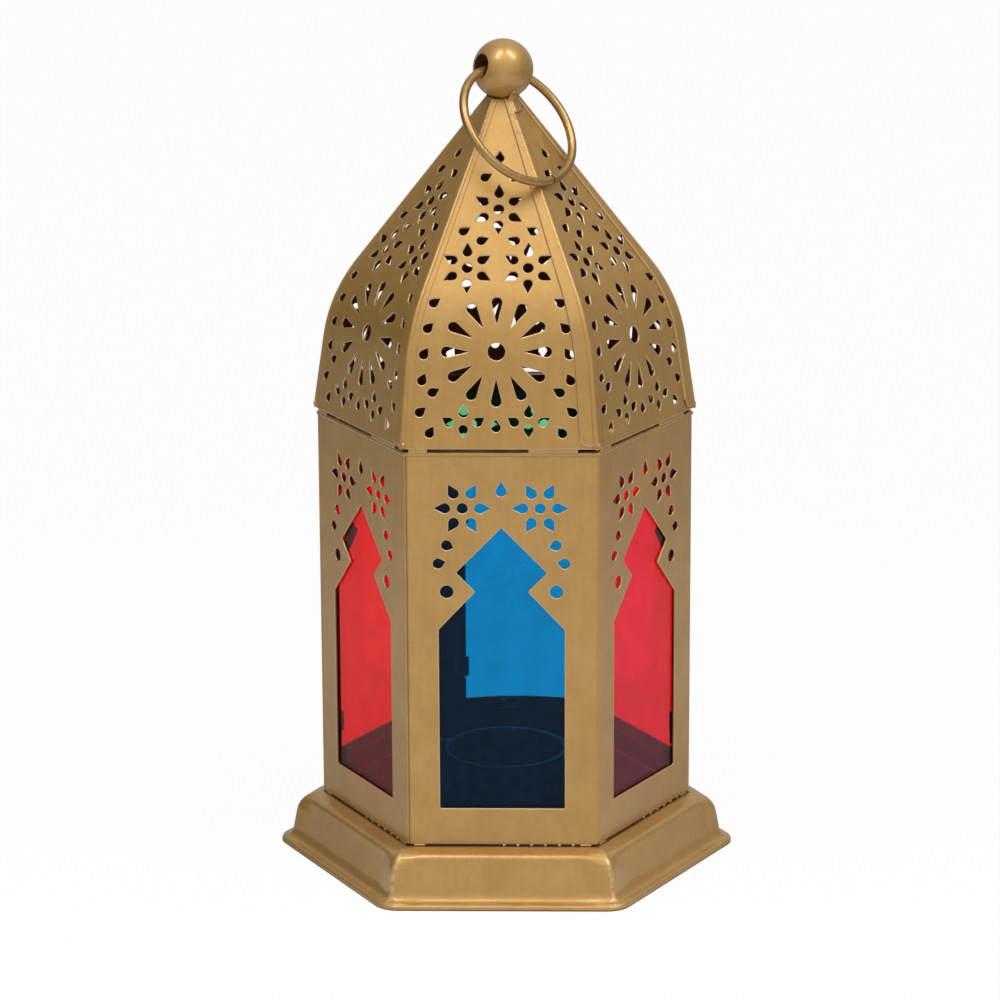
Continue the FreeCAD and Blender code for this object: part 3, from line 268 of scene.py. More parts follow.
def fold_height(across, up, out):
    """Height in millimetres of the hem beside each left ridge, less the crimps across each right lap."""
    dome = up.between(DOME_FOOT_MM, DOME_FOOT_MM + DOME_EDGE_MM)
    from_left = (out * RIDGE_SLOPE + across) / lap_share(up)
    from_right = (out * RIDGE_SLOPE - across) / lap_share(up)
    hem = 1.0 - from_left.between(HEM_WIDTH_MM - FOLD_STEP_MM, HEM_WIDTH_MM)
    lap = 1.0 - from_right.between(LAP_WIDTH_MM - FOLD_STEP_MM, LAP_WIDTH_MM)
    crimp = (up * (2.0 * math.pi / CRIMP_PITCH_MM)).math("SINE").between(*CRIMP_PEAK)
    crimped = crimp * lap * up.between(CRIMP_LOW_MM, CRIMP_LOW_MM + CRIMP_FADE_MM)
    return dome * hem * HEM_HEIGHT_MM - crimped * CRIMP_DEPTH_MM


print("hem:", HEM_HEIGHT_MM, "mm high, crimps:", CRIMP_DEPTH_MM, "mm deep")

# %% [markdown]
# ## Pale edges: painted highlight and wear
# Sharp edges catch the light, and handling wears the paint there, so their pale is partly a painted highlight and
# partly wear. The cut edges of the holes are pale, the upright corners of the sides are folds and stay gold, and
# the base is pale in patches along its mitres and its shoulder line, where light lines are painted, partly as
# highlight and partly as wear. Such a mask could be painted by hand, but borders in millimetres keep their place
# on every side. They are soft: each is written as where it starts and where it ends.

# %% Mark the pale edges, painted highlight and wear
SIDES_FOOT = (18.0, 18.4)
SIDES_TOP = (153.4, 154.0)
SKIRT_FOOT = (1.0, 2.0)
SKIRT_TOP = (17.2, 17.5)
CREST_MM = 16.2
# Distances from an upright fold, a mitre and the shoulder line, and levels of the cloud that patches them
UPRIGHT_FOLD = (0.6, 1.2)
MITRE = (0.4, 1.5)
CREST = (0.1, 0.9)
PATCHES = (0.25, 0.70)
# How pale the mitres and the shoulder line are painted, partly as highlight and partly as wear
MITRE_SHEEN_AND_WEAR = 0.5
CREST_SHEEN_AND_WEAR = 0.14


def sheen_and_wear_share(edge, cloud, across, up, out):
    """Pale edges, painted partly as highlight and partly as wear, less those at the upright corners of the sides,
    which are folds, and with the mitres and the shoulder line of the base, which are pale in patches."""
    ridge = out * RIDGE_SLOPE - across.math("ABSOLUTE")
    on_sides = up.between(*SIDES_FOOT) * (1.0 - up.between(*SIDES_TOP))
    kept = edge * (1.0 - on_sides * (1.0 - ridge.between(*UPRIGHT_FOLD)))
    on_skirt = up.between(*SKIRT_FOOT) * (1.0 - up.between(*SKIRT_TOP))
    mitre = (1.0 - ridge.between(*MITRE)) * MITRE_SHEEN_AND_WEAR
    crest = (1.0 - (up - CREST_MM).math("ABSOLUTE").between(*CREST)) * CREST_SHEEN_AND_WEAR
    patch_sheen_and_wear = on_skirt * mitre.math("MAXIMUM", crest) * cloud.between(*PATCHES)
    return kept.math("MAXIMUM", patch_sheen_and_wear)


print("shoulder line of the base:", CREST_MM, "mm up")

# %% [markdown]
# ## Painted shade in the hollows
# The inside of the sheet, the plate behind the slit under the sides, the edge that stands on the table and the
# hole through the ball lie in shade, so the shade is painted on them: they are made dull and brown. Which way a
# face looks tells the inside from the outside, and the ball's hole is whatever lies nearer to the ball's middle
# than its skin. The ring turns about that middle, so its joint gives the height.

# %% Mark the painted shade in the hollows
PLATE_FOOT = (16.6, 17.2)
PLATE_TOP = (17.65, 17.75)
PLATE_EDGE = (54.7, 55.3)
TABLE_EDGE = (0.2, 0.55)
BALL_SKIN = (9.4, 9.8)
# Border in the cosine between a face's normal and the way out from the axis
FACES_INWARD = (-0.45, -0.25)
ring_joint = next(joint for joint in frame["joints"] if joint["name"] == "ring_swing")
BALL_HEIGHT_MM = ring_joint["pos_m"][2] / MM


# The inside faces, the slit's plate, the table edge and the ball's bore get painted shade
def inside_share(place, normal):
    """One on faces that look towards the lantern's axis, nought on those that look away from it."""
    x, y, _ = split(place)
    normal_x, normal_y, _ = split(normal)
    return 1.0 - ((x * normal_x + y * normal_y) / from_axis(x, y)).between(*FACES_INWARD)


def hollow_shade_share(up, out):
    """One where shade is painted: on the base's plate behind the slit under the sides, and on the edge that stands
    on the table.
    """
    plate = up.between(*PLATE_FOOT) * (1.0 - up.between(*PLATE_TOP)) * (1.0 - out.between(*PLATE_EDGE))
    return plate.math("MAXIMUM", 1.0 - up.between(*TABLE_EDGE))


def bore_share(place):
    """One in the ball's cross hole, which lies nearer to the ball's middle than its skin does."""
    x, y, z = split(place)
    lift = z - BALL_HEIGHT_MM
    return 1.0 - (x * x + y * y + lift * lift).math("SQRT").between(*BALL_SKIN)


print("middle of the ball:", round(BALL_HEIGHT_MM, 2), "mm up")

# %% [markdown]
# ## Sharp edges
# A cut edge catches the light, and its paint is thin and worn there, so it is painted pale, partly as a highlight
# and partly as wear. The holes have far too many edges to be picked by hand. A Bevel node finds them: it gives the
# normal that the face would have with round edges, and where that leaves the true normal, there is an edge. The
# paint is shaded with the round normal as well.

# %% Find the sharp edges
BEVEL_SAMPLES = 8
# Border in one less the cosine between the two normals
SHARP_EDGE = (0.015, 0.16)


def rounded_edges(start, radius_mm):
    """The true normal, the normal of a face with round edges, and a mask of where the two part."""
    flat = start.make("ShaderNodeNewGeometry", {}, {}, output="Normal")
    soft = start.make("ShaderNodeBevel", {"samples": BEVEL_SAMPLES}, {"Radius": radius_mm * MM})
    settings = {"operation": "DOT_PRODUCT"}
    alike = start.make("ShaderNodeVectorMath", settings, {0: flat, 1: soft}, output="Value")
    return flat, soft, (1.0 - alike).between(*SHARP_EDGE)


print("normals count as parted from", round(math.degrees(math.acos(1.0 - SHARP_EDGE[0])), 1), "degrees on")

# %% [markdown]
# ## Satin gold paint
# The paint is metal powder in a clear binder. The powder makes it about half a metal with a soft shine,
# and the binder lies over it as a thin coat with a sharper shine of its own. Sprayed paint leaves a slight
# orange peel, and the sheet under it is never quite flat. A plain metal would be simpler, but it is too
# dark where it mirrors nothing bright. Folded sheet has all the masks above, and a cast piece only its
# bore.

# %% Mix the gold paint
GOLD = linear(196, 152, 78)
GOLD_DEEP = linear(182, 137, 64)
# Pale gold of the painted highlight and wear on edges
GOLD_SHEEN_AND_WEAR = linear(240, 212, 160)
# Brown of the painted shade in the hollows
SHADE_BROWN = linear(84, 44, 24)
# Features per millimetre, and finer layers, of mottle, cloud, flake, peel and wave
PAINT_NOISES = ((0.09, 3.0), (0.6, 2.0), (9.0, 1.0), (1.7, 1.0), (0.045, 1.0))
DRAWN_STRETCH = (0.55, 0.035, 0.2)
PEEL_MM = 0.010
FLAKE_MM = 0.0012
DRAWN_MM = 0.005
WAVE_MM = 0.30
TONE = (0.30, 0.72)
# How pale sharp edges are painted, partly as highlight and partly as wear
EDGE_SHEEN_AND_WEAR = 0.85
# How dark the painted shade in the hollows is
INNER_SHADE = 0.92
POWDER_METAL = 0.55
BINDER_ROUGHNESS = 0.14


def gold_paint(name, roughness, edge_mm, coat, folded):
    """Gold powder paint. Heights in the bump are in millimetres, so that its slopes are true to size."""
    material, start = new_finish(name)
    place = place_mm(start)
    across, up, out = folded_place(place)
    mottle, cloud, flake, peel, wave = (start.noise(place, *noise) for noise in PAINT_NOISES)
    drawn = start.noise(stretched(start, (across, up, out), DRAWN_STRETCH), 1.0, 3.0)
    flat, soft, edge = rounded_edges(start, edge_mm)
    height = peel * PEEL_MM + flake * FLAKE_MM + drawn * DRAWN_MM
    if folded:
        edge = sheen_and_wear_share(edge, cloud, across, up, out)
        height = height + wave * WAVE_MM + fold_height(across, up, out)
        # painted shade on the inside faces, the slit's plate and the table edge
        dull = inside_share(place, flat).math("MAXIMUM", hollow_shade_share(up, out))
    else:
        # painted shade in the ball's bore
        dull = bore_share(place)
    tone = mottle * 0.5 + cloud * 0.25 + drawn * 0.25
    colour = start.blend(tone.between(*TONE), GOLD_DEEP, GOLD)
    # painted highlight and wear: edges and fine painted flake glints blend towards pale gold
    colour = start.blend((edge * EDGE_SHEEN_AND_WEAR + (flake - 0.5) * 0.10).clamped(), colour, GOLD_SHEEN_AND_WEAR)
    # painted shade: the hollows are darkened to brown
    colour = start.blend(dull * INNER_SHADE, colour, SHADE_BROWN)
    shine = roughness + (drawn - 0.5) * 0.10 + (flake - 0.5) * 0.06 - edge * 0.06
    bump = start.make("ShaderNodeBump", {}, {"Height": height, "Distance": MM, "Normal": soft})
    surface = start.make("ShaderNodeBsdfPrincipled", {}, {
        "Base Color": colour, "Metallic": POWDER_METAL - dull * 0.3, "Roughness": shine + dull * 0.2,
        "Normal": bump, "Coat Weight": coat - dull * coat, "Coat Roughness": BINDER_ROUGHNESS,
    })
    show(start, surface)
    return material


gold_sheet = gold_paint("gold_sheet", roughness=0.44, edge_mm=0.8, coat=0.95, folded=True)
gold_cast = gold_paint("gold_cast", roughness=0.42, edge_mm=0.4, coat=1.0, folded=False)
print("paints:", gold_sheet.name, gold_cast.name)

# %% [markdown]
# ## Wire
# The ring and the hinge pins are drawn wire. Drawing leaves fine scratches, and handling rubs the wire
# bright in patches. The scratches could follow the wire, but it is so thin that their direction can't be
# seen. So two noises are enough: a slow one for the patches, and a fine one for the scratches.

# %% Draw the wire
WIRE_GOLD = linear(176, 138, 80)
WIRE_WORN = linear(204, 168, 112)
RUB_NOISE = (0.28, 3.0)
SCRATCH_NOISE = (5.0, 2.0)
WIRE_RUB = (0.45, 0.9)
SCRATCH_MM = 0.003
RUB_MM = 0.015


def drawn_wire(name):
    """Rubbed gold wire: patches of worn metal, and fine scratches as a bump."""
    material, start = new_finish(name)
    place = place_mm(start)
    rub = start.noise(place, *RUB_NOISE)
    scratch = start.noise(place, *SCRATCH_NOISE)
    colour = start.blend(rub.between(*WIRE_RUB), WIRE_GOLD, WIRE_WORN)
    height = scratch * SCRATCH_MM + rub * RUB_MM
    bump = start.make("ShaderNodeBump", {}, {"Height": height, "Distance": MM})
    surface = start.make("ShaderNodeBsdfPrincipled", {}, {
        "Base Color": colour, "Metallic": 0.92, "Roughness": 0.38 + (scratch - 0.5) * 0.12,
        "Normal": bump, "Coat Weight": 0.6, "Coat Roughness": 0.25,
    })
    show(start, surface)
    return material


ring_wire = drawn_wire("ring_wire")
print("wire:", ring_wire.name)

# %% [markdown]
# ## Tin
# The cup, its rivet, the clips and the ball's stem are bare tin. It is greyer than the paint, with rolling
# marks along one direction and a bloom of cloudy spots. An anisotropic shader would blur the shine as such
# marks do, but noise that is drawn out upwards shows the marks themselves.

# %% Roll the tin
TIN = linear(126, 121, 112)
TIN_DULL = linear(84, 78, 70)
BLOOM_NOISE = (0.22, 4.0)
TIN_BLOOM = (0.35, 0.7)
ROLLED_STRETCH = (1.6, 0.12, 1.6)
ROLLED_MM = 0.012


def rolled_tin(name):
    """Tinned sheet: rolling marks that run upwards, and cloudy dull spots."""
    material, start = new_finish(name)
    place = place_mm(start)
    rolled = start.noise(stretched(start, folded_place(place), ROLLED_STRETCH), 1.0, 3.0)
    bloom = start.noise(place, *BLOOM_NOISE)
    colour = start.blend(bloom.between(*TIN_BLOOM), TIN, TIN_DULL)
    bump = start.make("ShaderNodeBump", {}, {"Height": rolled * ROLLED_MM, "Distance": MM})
    surface = start.make("ShaderNodeBsdfPrincipled", {}, {
        "Base Color": colour, "Metallic": 0.9, "Roughness": 0.46 + (rolled - 0.5) * 0.25, "Normal": bump,
    })
    show(start, surface)
    return material


bare_tin = rolled_tin("bare_tin")
print("tin:", bare_tin.name)

# %% [markdown]
# ## Hand-made glass
# The panes are coloured in the mass and rolled by hand: their faces are wavy, and small bubbles called
# seeds are caught in them. Light that passes takes the glass's colour once, so the colour is that of a
# white wall seen through the pane, a little stronger where the glass is thick. Waves and seeds go into the
# bump. The index of refraction is set lower than that of real glass, so that the panes mirror less of the
# white floor.

# %% Melt the glass
# Colour where thin, colour where thick, index of refraction, and the share of light that passes
PANE_COLOURS = {
    "blue_glass": ((0, 130, 192), (0, 121, 180), 1.20, 0.97),
    "red_glass": ((236, 12, 16), (226, 6, 10), 1.28, 0.99),
    "rose_glass": ((240, 20, 110), (230, 14, 98), 1.34, 0.99),
    "amber_glass": ((250, 184, 66), (240, 164, 44), 1.40, 0.98),
    "peach_glass": ((252, 200, 184), (244, 184, 166), 1.40, 0.98),
    "green_glass": ((120, 216, 162), (84, 190, 130), 1.18, 0.90),
    "clear_glass": ((250, 253, 251), (246, 251, 249), 1.20, 1.0),
}
WAVE_NOISE = (0.05, 1.0)
DEPTH_NOISE = (0.12, 2.0)
THICKNESS = (0.3, 0.75)
SEEDS_PER_MM = 0.30
SEED_SIZE = (0.03, 0.11)
GLASS_WAVE_MM = 0.08
SEED_MM = 0.035


def seeded_glass(name, thin, thick, bend, clear):
    """Tinted glass with slow waves and fine seeds. What isn't clear is a bloom in the glass's own colour."""
    material, start = new_finish(name)
    place = place_mm(start)
    wave = start.noise(place, *WAVE_NOISE)
    depth = start.noise(place, *DEPTH_NOISE)
    cells = {"Vector": place, "Scale": SEEDS_PER_MM}
    from_seed = start.make("ShaderNodeTexVoronoi", {"feature": "F1"}, cells, output="Distance")
    seed = 1.0 - from_seed.between(*SEED_SIZE)
    colour = start.blend(depth.between(*THICKNESS), linear(*thin), linear(*thick))
    height = wave * GLASS_WAVE_MM + seed * SEED_MM
    bump = start.make("ShaderNodeBump", {}, {"Height": height, "Distance": MM})
    surface = start.make("ShaderNodeBsdfPrincipled", {}, {
        "Base Color": colour, "Roughness": 0.0, "IOR": bend, "Transmission Weight": clear, "Normal": bump,
    })
    show(start, surface)
    return material


glass = {slot: seeded_glass(slot, *recipe) for slot, recipe in PANE_COLOURS.items()}
print("glass:", sorted(glass))

# %% [markdown]
# ## Dress the CAD pieces
# Every piece of the CAD model takes one of these finishes. Each could be dressed by name, but the record
# names a material slot for each piece, so a table from slot to finish is nearly enough. A few pieces
# differ: the ball and the latch's knob are cast and not folded, the solder beads are sprayed over, and two
# panes are of another shade than the rest of their slot.

# %% Give each piece its finish
FINISHES = {"gold_paint": gold_sheet, "plain_tin": bare_tin, "brass_wire": ring_wire, **glass}
SPECIAL = {
    "finial_ball": gold_cast,
    "latch_knob": gold_cast,
    "foot_beads": gold_sheet,
    "pane_front_right": glass["rose_glass"],
    "pane_rear_left": glass["peach_glass"],
}
for part in frame["record"]["subparts"]:
    node = nodes[part["node"]]
    finish = SPECIAL.get(part["node"], FINISHES[part["material_slot"]])
    node.data.materials.clear()
    node.data.materials.append(finish)

# %% [markdown]
# ## From arrays to meshes
# The pieces that are added here are surfaces on grids. They could be drawn with Blender's edit tools, but
# a formula says more plainly what a shape is: numpy works out all the points at once, and the faces only
# say which neighbours on the grid belong together.

# %% Put points and faces into a mesh


def add_mesh(name, points, faces, finish, smooth=True):
    """A mesh object at the origin from an array of points and a list of faces."""
    mesh = bpy.data.meshes.new(name)
    mesh.from_pydata(points.reshape(-1, 3).tolist(), [], faces)
    mesh.polygons.foreach_set("use_smooth", np.full(len(mesh.polygons), smooth))
    mesh.materials.append(finish)
    mesh.update()
    piece = bpy.data.objects.new(name, mesh)
    bpy.context.scene.collection.objects.link(piece)
    return piece


def grid_quads(rows, columns, wrap_rows=False, wrap_columns=False):
    """Quads of a grid of points, numbered row by row. A wrapped direction is joined to its start again."""
    index = np.arange(rows * columns).reshape(rows, columns)
    if wrap_rows:
        index = np.vstack([index, index[:1]])
    if wrap_columns:
        index = np.hstack([index, index[:, :1]])
    corners = (index[:-1, :-1], index[1:, :-1], index[1:, 1:], index[:-1, 1:])
    return np.stack(corners, axis=-1).reshape(-1, 4)


print("quads on a ring of 3 by 4 points:", len(grid_quads(3, 4, wrap_columns=True)))

# %% [markdown]
# ## Rolled lips
# The top edge of each side is bent over a little, which takes away the sharp edge and makes a bright line
# in the slit under the dome. Six bars could be laid end to end, but a hexagon can also be drawn in one go:
# its distance from the axis is its apothem divided by the cosine of the angle from the nearest side's
# middle. If the apothem and the height swing round a small circle, that hexagon becomes a closed hexagonal
# roll.

# %% Roll the lips of the sides
LIP_APOTHEM = 54.20 * MM
LIP_HEIGHT = 152.75 * MM
LIP_RADIUS = 0.78 * MM


def hexagon_roll(apothem, height, radius, per_side=20, around=14):
    """Apothem a + r cos p and height h + r sin p, for p once round; distance from the axis = apothem /
    cos(angle from the side's middle). The angles are spaced so that the points of one side are evenly
    apart, and r swells and shrinks by some percent along the way, as an edge bent by hand does."""
    across = np.linspace(-RIDGE_SLOPE, RIDGE_SLOPE, per_side, endpoint=False)
    fold = np.tile(np.arctan(across), 6)
    angle = fold + np.repeat(np.arange(6) * SIXTH, per_side) - math.pi / 2
    turn = np.linspace(0.0, 2 * math.pi, around, endpoint=False)
    wobble = 1.0 + 0.07 * np.sin(angle * 17.0) + 0.05 * np.sin(angle * 41.0 + 1.0)
    swing = radius * wobble[:, None]
    reach = (apothem + swing * np.cos(turn)) / np.cos(fold)[:, None]
    x = reach * np.cos(angle)[:, None]
    y = reach * np.sin(angle)[:, None]
    points = np.stack([x, y, height + swing * np.sin(turn)], axis=-1)
    return points, grid_quads(len(angle), around, wrap_rows=True, wrap_columns=True).tolist()


lips = add_mesh("lip_rolls", *hexagon_roll(LIP_APOTHEM, LIP_HEIGHT, LIP_RADIUS), gold_sheet)
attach(lips, "lantern")
print("lip_rolls:", len(lips.data.polygons), "faces")

# %% [markdown]
# ## The section of the base
# The base is one sheet, pressed over a six-sided block: a flat plate, a short slope to a soft shoulder
# line, a skirt, and a flange that is turned down to the table. Sheet is never bent sharp, so its section
# is a few straight runs joined by arcs, given by the corners of the runs and a radius for each. A Bevel
# modifier could round a mesh as well, but here every bend has a radius of its own, and at the corners of
# the hexagon some bends are rounder than along the sides.

# %% Bend the section
# Distance from the axis and height of each corner, in millimetres, and the radius of each bend
BASE_POINTS = np.array([[1.4, 17.6], [54.9, 17.6], [60.5, 16.35], [64.75, 1.8], [68.55, 1.8], [68.55, 0.0]])
BASE_BENDS = (2.0, 2.2, 2.5, 1.2)
BASE_CORNER_BENDS = (2.0, 8.0, 3.5, 1.2)
SHOULDER = 2
SHOULDER_AT_CORNER = (62.0, 17.2)
PLATE_STEPS = 5
SECTION_STEPS = 64


def bent_line(points, radii, steps=7):
    """Straight runs joined by arcs: each corner is replaced by points on a circle that touches both runs."""
    rows = [points[:1]]
    share = np.linspace(0.0, 1.0, steps)[:, None]
    for before, corner, after, radius in zip(points, points[1:], points[2:], radii):
        back, on = ((end - corner) / np.linalg.norm(end - corner) for end in (before, after))
        half = math.acos(np.clip(back @ on, -1.0, 1.0)) / 2
        middle = corner + (back + on) / np.linalg.norm(back + on) * radius / math.sin(half)
        chord = corner + (back * (1.0 - share) + on * share) * radius / math.tan(half)
        spoke = chord - middle
        rows.append(middle + spoke / np.linalg.norm(spoke, axis=1)[:, None] * radius)
    return np.vstack(rows + [points[-1:]])


def even_line(line):
    """The line's first run in a few steps, and then points evenly apart by length."""
    runs = np.linalg.norm(np.diff(line, axis=0), axis=1)
    length = np.concatenate([[0.0], np.cumsum(runs)])
    plate = np.linspace(0.0, length[1], PLATE_STEPS, endpoint=False)
    at = np.concatenate([plate, np.linspace(length[1], length[-1], SECTION_STEPS)])
    return np.stack([np.interp(at, length, line[:, axis]) for axis in (0, 1)], axis=-1)


base_corner_points = BASE_POINTS.copy()
base_corner_points[SHOULDER] = SHOULDER_AT_CORNER
side_section = even_line(bent_line(BASE_POINTS, BASE_BENDS))
corner_section = even_line(bent_line(base_corner_points, BASE_CORNER_BENDS))
print("section of the base:", len(side_section), "points")

# %% [markdown]
# ## The pressed skirt
# Between its corners the skirt is pressed in by a fraction of a millimetre, and no press leaves it quite
# even. A bump could shade it, but the base is worked out from points anyway, so the points themselves
# move. Soft steps keep the dent away from the corners, the shoulder and the flange.

# %% Press the skirt in
PRESSED_MM = 0.25
UNEVEN_MM = 0.035
# Soft borders in millimetres: the first two from the nearest corner, the others up
PRESS_FADES = (1.0, 3.6)
UNEVEN_FADES = (2.0, 6.0)
SKIRT_STARTS = (2.6, 5.2)
SKIRT_ENDS = (12.6, 15.6)


def soft_step(value, low, high):
    """Nought below low, one above high, and 3 s s - 2 s s s between them, with s the share of the way."""
    share = np.clip((value - low) / (high - low), 0.0, 1.0)
    return share * share * (3.0 - 2.0 * share)


def pressed_depth(share, side, from_corner, up):
    """A plain depth, plus an uneven one from sines of the share along the side, the side's angle and the
    height; both fade out towards the borders of the skirt."""
    skirt = soft_step(up, *SKIRT_STARTS) * (1.0 - soft_step(up, *SKIRT_ENDS))
    uneven = np.sin(share * 5.0 + side * 3.1) * np.sin(up * 0.45 + side) + np.sin(share * 11.0 + side * 5.0)
    plain = PRESSED_MM * soft_step(from_corner, *PRESS_FADES)
    return skirt * (plain + UNEVEN_MM * uneven * soft_step(from_corner, *UNEVEN_FADES))


print("skirt pressed in by", PRESSED_MM, "mm between", SKIRT_STARTS[0], "and", SKIRT_ENDS[1], "mm up")

# %% [markdown]
# ## The pressed base
# The CAD solid has the same section with sharp mitres. A press can't make those: its corners are rounded,
# a little at the plate and much at the flange. So the section is carried round a hexagon whose corner
# radius grows with its size, and a Solidify modifier gives the sheet its wall.

# %% Press the base
CORNER_AT = (1.4, 50.0, 60.5, 64.5, 68.5)
CORNER_RADIUS = (0.1, 0.3, 1.3, 3.5, 9.0)
CORNER_FADES = (0.5, 8.0)
HALF_SIDE_MM = 34.0
BASE_WALL = 0.7 * MM


def pressed_base(per_side=36, per_corner=10):
    """For an apothem a and corner radius c, a point is a core hexagon of apothem a - c, plus c along the
    direction that the edge faces there. Along a side that direction stays and the core point moves; at a
    corner it is the other way round. The section of the sides fades into that of the corners."""
    share = np.concatenate([np.linspace(-1.0, 1.0, per_side), np.ones(per_corner)])
    swing = np.concatenate([np.zeros(per_side), np.linspace(0.0, SIXTH, per_corner + 2)[1:-1]])
    side = np.repeat(np.arange(6) * SIXTH - math.pi / 2, len(share))
    share = np.tile(share, 6)
    swing = np.tile(swing, 6)
    from_corner = (1.0 - np.abs(share)) * HALF_SIDE_MM
    near = (1.0 - soft_step(from_corner, *CORNER_FADES))[:, None]
    line = side_section[:, None, :] + (corner_section - side_section)[:, None, :] * near
    apothem, up = line[:, :, 0], line[:, :, 1]
    corner = np.interp(apothem, CORNER_AT, CORNER_RADIUS)
    core = apothem - corner - pressed_depth(share, side, from_corner, up)
    along = share * RIDGE_SLOPE * core
    x = core * np.cos(side) - along * np.sin(side) + corner * np.cos(side + swing)
    y = core * np.sin(side) + along * np.cos(side) + corner * np.sin(side + swing)
    return np.stack([x, y, up], axis=-1) * MM, grid_quads(*up.shape, wrap_columns=True).tolist()


base = add_mesh("pressed_base", *pressed_base(), gold_sheet)
wall = base.modifiers.new("wall", "SOLIDIFY")
wall.thickness = BASE_WALL
wall.offset = -1.0
wall.use_even_offset = True
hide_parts("base_tray")
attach(base, "lantern")
print("pressed_base:", len(base.data.polygons), "faces before its wall")

# %% [markdown]
# ## The dome's folds
# Each gore is folded over its left-hand neighbour, and a fold in thin sheet is never sharp: it keeps a
# small round, which draws a bright line down every ridge. Each fold is a slim roll that follows the ridge.
# The dome's section, a wall and a cone with a wide bend between them, gives the distance of the ridge from
# the axis, and because one sheet lies over the other there, the ridge stands a little to one side of the
# corner.

# %% Fold the ridges
DOME_LINE = np.array([[55.36, 154.7], [50.28, 193.8], [4.6, 260.5]])
DOME_BEND = (60.0,)
LAP_STEP = 0.65
FOLD_PROUD = 0.10
FOLD_FOOT = 155.3
FOLD_TOP = 255.0
FOLD_SIZE_AT = (155.0, 258.0)
FOLD_SIZE = (1.5, 0.7)


def repeated(faces, copies, points_each):
    """Faces of several copies of a shape, whose points follow each other in the mesh."""
    shift = np.arange(copies)[:, None, None] * points_each
    return (faces[None] + shift).reshape(-1, faces.shape[-1]).tolist()


def fold_rolls(stations=70, around=16):
    """With a the dome's apothem and d the lap's step, the ridge is 2/3 (a - d) along the owner's face
    direction plus 2/3 a + 4/3 d along its neighbour's. A circle about a point just inside it is carried up
    the ridge, and one flat face closes each end."""
    line = bent_line(DOME_LINE, DOME_BEND, steps=40)
    up = np.linspace(FOLD_FOOT, FOLD_TOP, stations)
    apothem = np.interp(up, line[:, 1], line[:, 0])[:, None]
    size = np.interp(up, FOLD_SIZE_AT, FOLD_SIZE)[:, None]
    turn = np.linspace(0.0, 2 * math.pi, around, endpoint=False)
    shift = size * np.cos(turn) - (size - FOLD_PROUD)
    out = (4.0 * apothem + 2.0 * LAP_STEP) / 3.0 * math.cos(SIXTH / 2) + shift
    aside = size * np.sin(turn) - LAP_STEP
    angle = (np.arange(6) * SIXTH)[:, None, None]
    x = out * np.cos(angle) - aside * np.sin(angle)
    y = out * np.sin(angle) + aside * np.cos(angle)
    points = np.stack(np.broadcast_arrays(x, y, up[:, None]), axis=-1) * MM
    quads = grid_quads(stations, around, wrap_columns=True)[:, ::-1]
    foot = np.arange(around)[None, ::-1]
    top = np.arange(around)[None] + (stations - 1) * around
    faces = [repeated(kind, 6, stations * around) for kind in (quads, foot, top)]
    return points, sum(faces, [])


folds = add_mesh("fold_rolls", *fold_rolls(), gold_sheet)
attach(folds, "lantern")
print("fold_rolls:", len(folds.data.polygons), "faces")

# %% [markdown]
# ## Solder at the dome's corners
# Where two gores meet at the foot of the dome, a small lump of solder holds the fold shut, and the paint
# covers it. A lump could be melted from metaballs, but a flattened ball, pulled a little out of round so
# that no two are alike, is simpler and has few faces.

# %% Drop the solder
DAB_RADIUS = 63.55 * MM
DAB_HEIGHT = 155.75 * MM
DAB_SCALES = (1.0, 0.85, 1.1, 0.9, 1.05, 0.95)
DAB_SIZES = (0.95, 0.95, 1.15)
DAB_BULGE = 0.12
POLE_GAP = 0.12


def lumps(centres, sizes, rings=9, steps=14):
    """Ball points (sin d cos t, sin d sin t, cos d), for d down and t round, times each lump's own sizes,
    with a slow bulge, about its centre. Both poles are closed by one flat face."""
    down = np.linspace(POLE_GAP, math.pi - POLE_GAP, rings)
    turn = np.linspace(0.0, 2 * math.pi, steps, endpoint=False)
    down, turn = np.meshgrid(down, turn, indexing="ij")
    ball = np.stack([np.sin(down) * np.cos(turn), np.sin(down) * np.sin(turn), np.cos(down)], axis=-1)
    lean = np.arange(len(centres))[:, None, None, None] * 1.7
    bulge = 1.0 + DAB_BULGE * np.sin((2.0 * turn + 3.0 * down)[None, :, :, None] + lean)
    points = centres[:, None, None, :] + ball * bulge * sizes[:, None, None, :]
    quads = grid_quads(rings, steps, wrap_columns=True)
    top = np.arange(steps)[None]
    foot = np.arange(steps)[None, ::-1] + (rings - 1) * steps
    faces = [repeated(kind, len(centres), rings * steps) for kind in (quads, top, foot)]
    return points, sum(faces, [])


corner_angle = np.arange(6) * SIXTH
dab_x = DAB_RADIUS * np.cos(corner_angle)
dab_y = DAB_RADIUS * np.sin(corner_angle)
dab_centres = np.stack([dab_x, dab_y, np.full(6, DAB_HEIGHT)], axis=-1)
dab_sizes = np.outer(DAB_SCALES, DAB_SIZES) * MM
dabs = add_mesh("dome_dabs", *lumps(dab_centres, dab_sizes), gold_sheet)
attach(dabs, "lantern")
print("dome_dabs:", len(dabs.data.polygons), "faces")

# %% [markdown]
# ## The tab at the crown
# One gore was cut a little too long: the end of its fold stands up beside the ball and leans against it.
# It is a short strip that starts on the ridge as a bent fold and flattens against the ball. It could be
# bent from a plane with modifiers, but a profile of distances from the axis, carried across the strip, is
# enough.

# %% Raise the tab
TAB_ANGLE = -math.pi / 3
TAB_REACH = np.array([9.05, 7.75, 6.75, 6.35, 6.60, 7.30, 7.95]) * MM
TAB_HEIGHT = np.array([256.6, 258.2, 259.5, 260.5, 261.5, 262.5, 263.2]) * MM
TAB_LEFT = np.array([1.9, 1.8, 1.6, 1.4, 1.2, 0.9, 0.5]) * MM
TAB_RIGHT = np.array([3.2, 3.2, 3.1, 3.0, 2.9, 2.7, 2.2]) * MM
TAB_CREASE = 0.3 * MM
TAB_FLATTENS = (0.35, 0.75)
TAB_WALL = 0.45 * MM


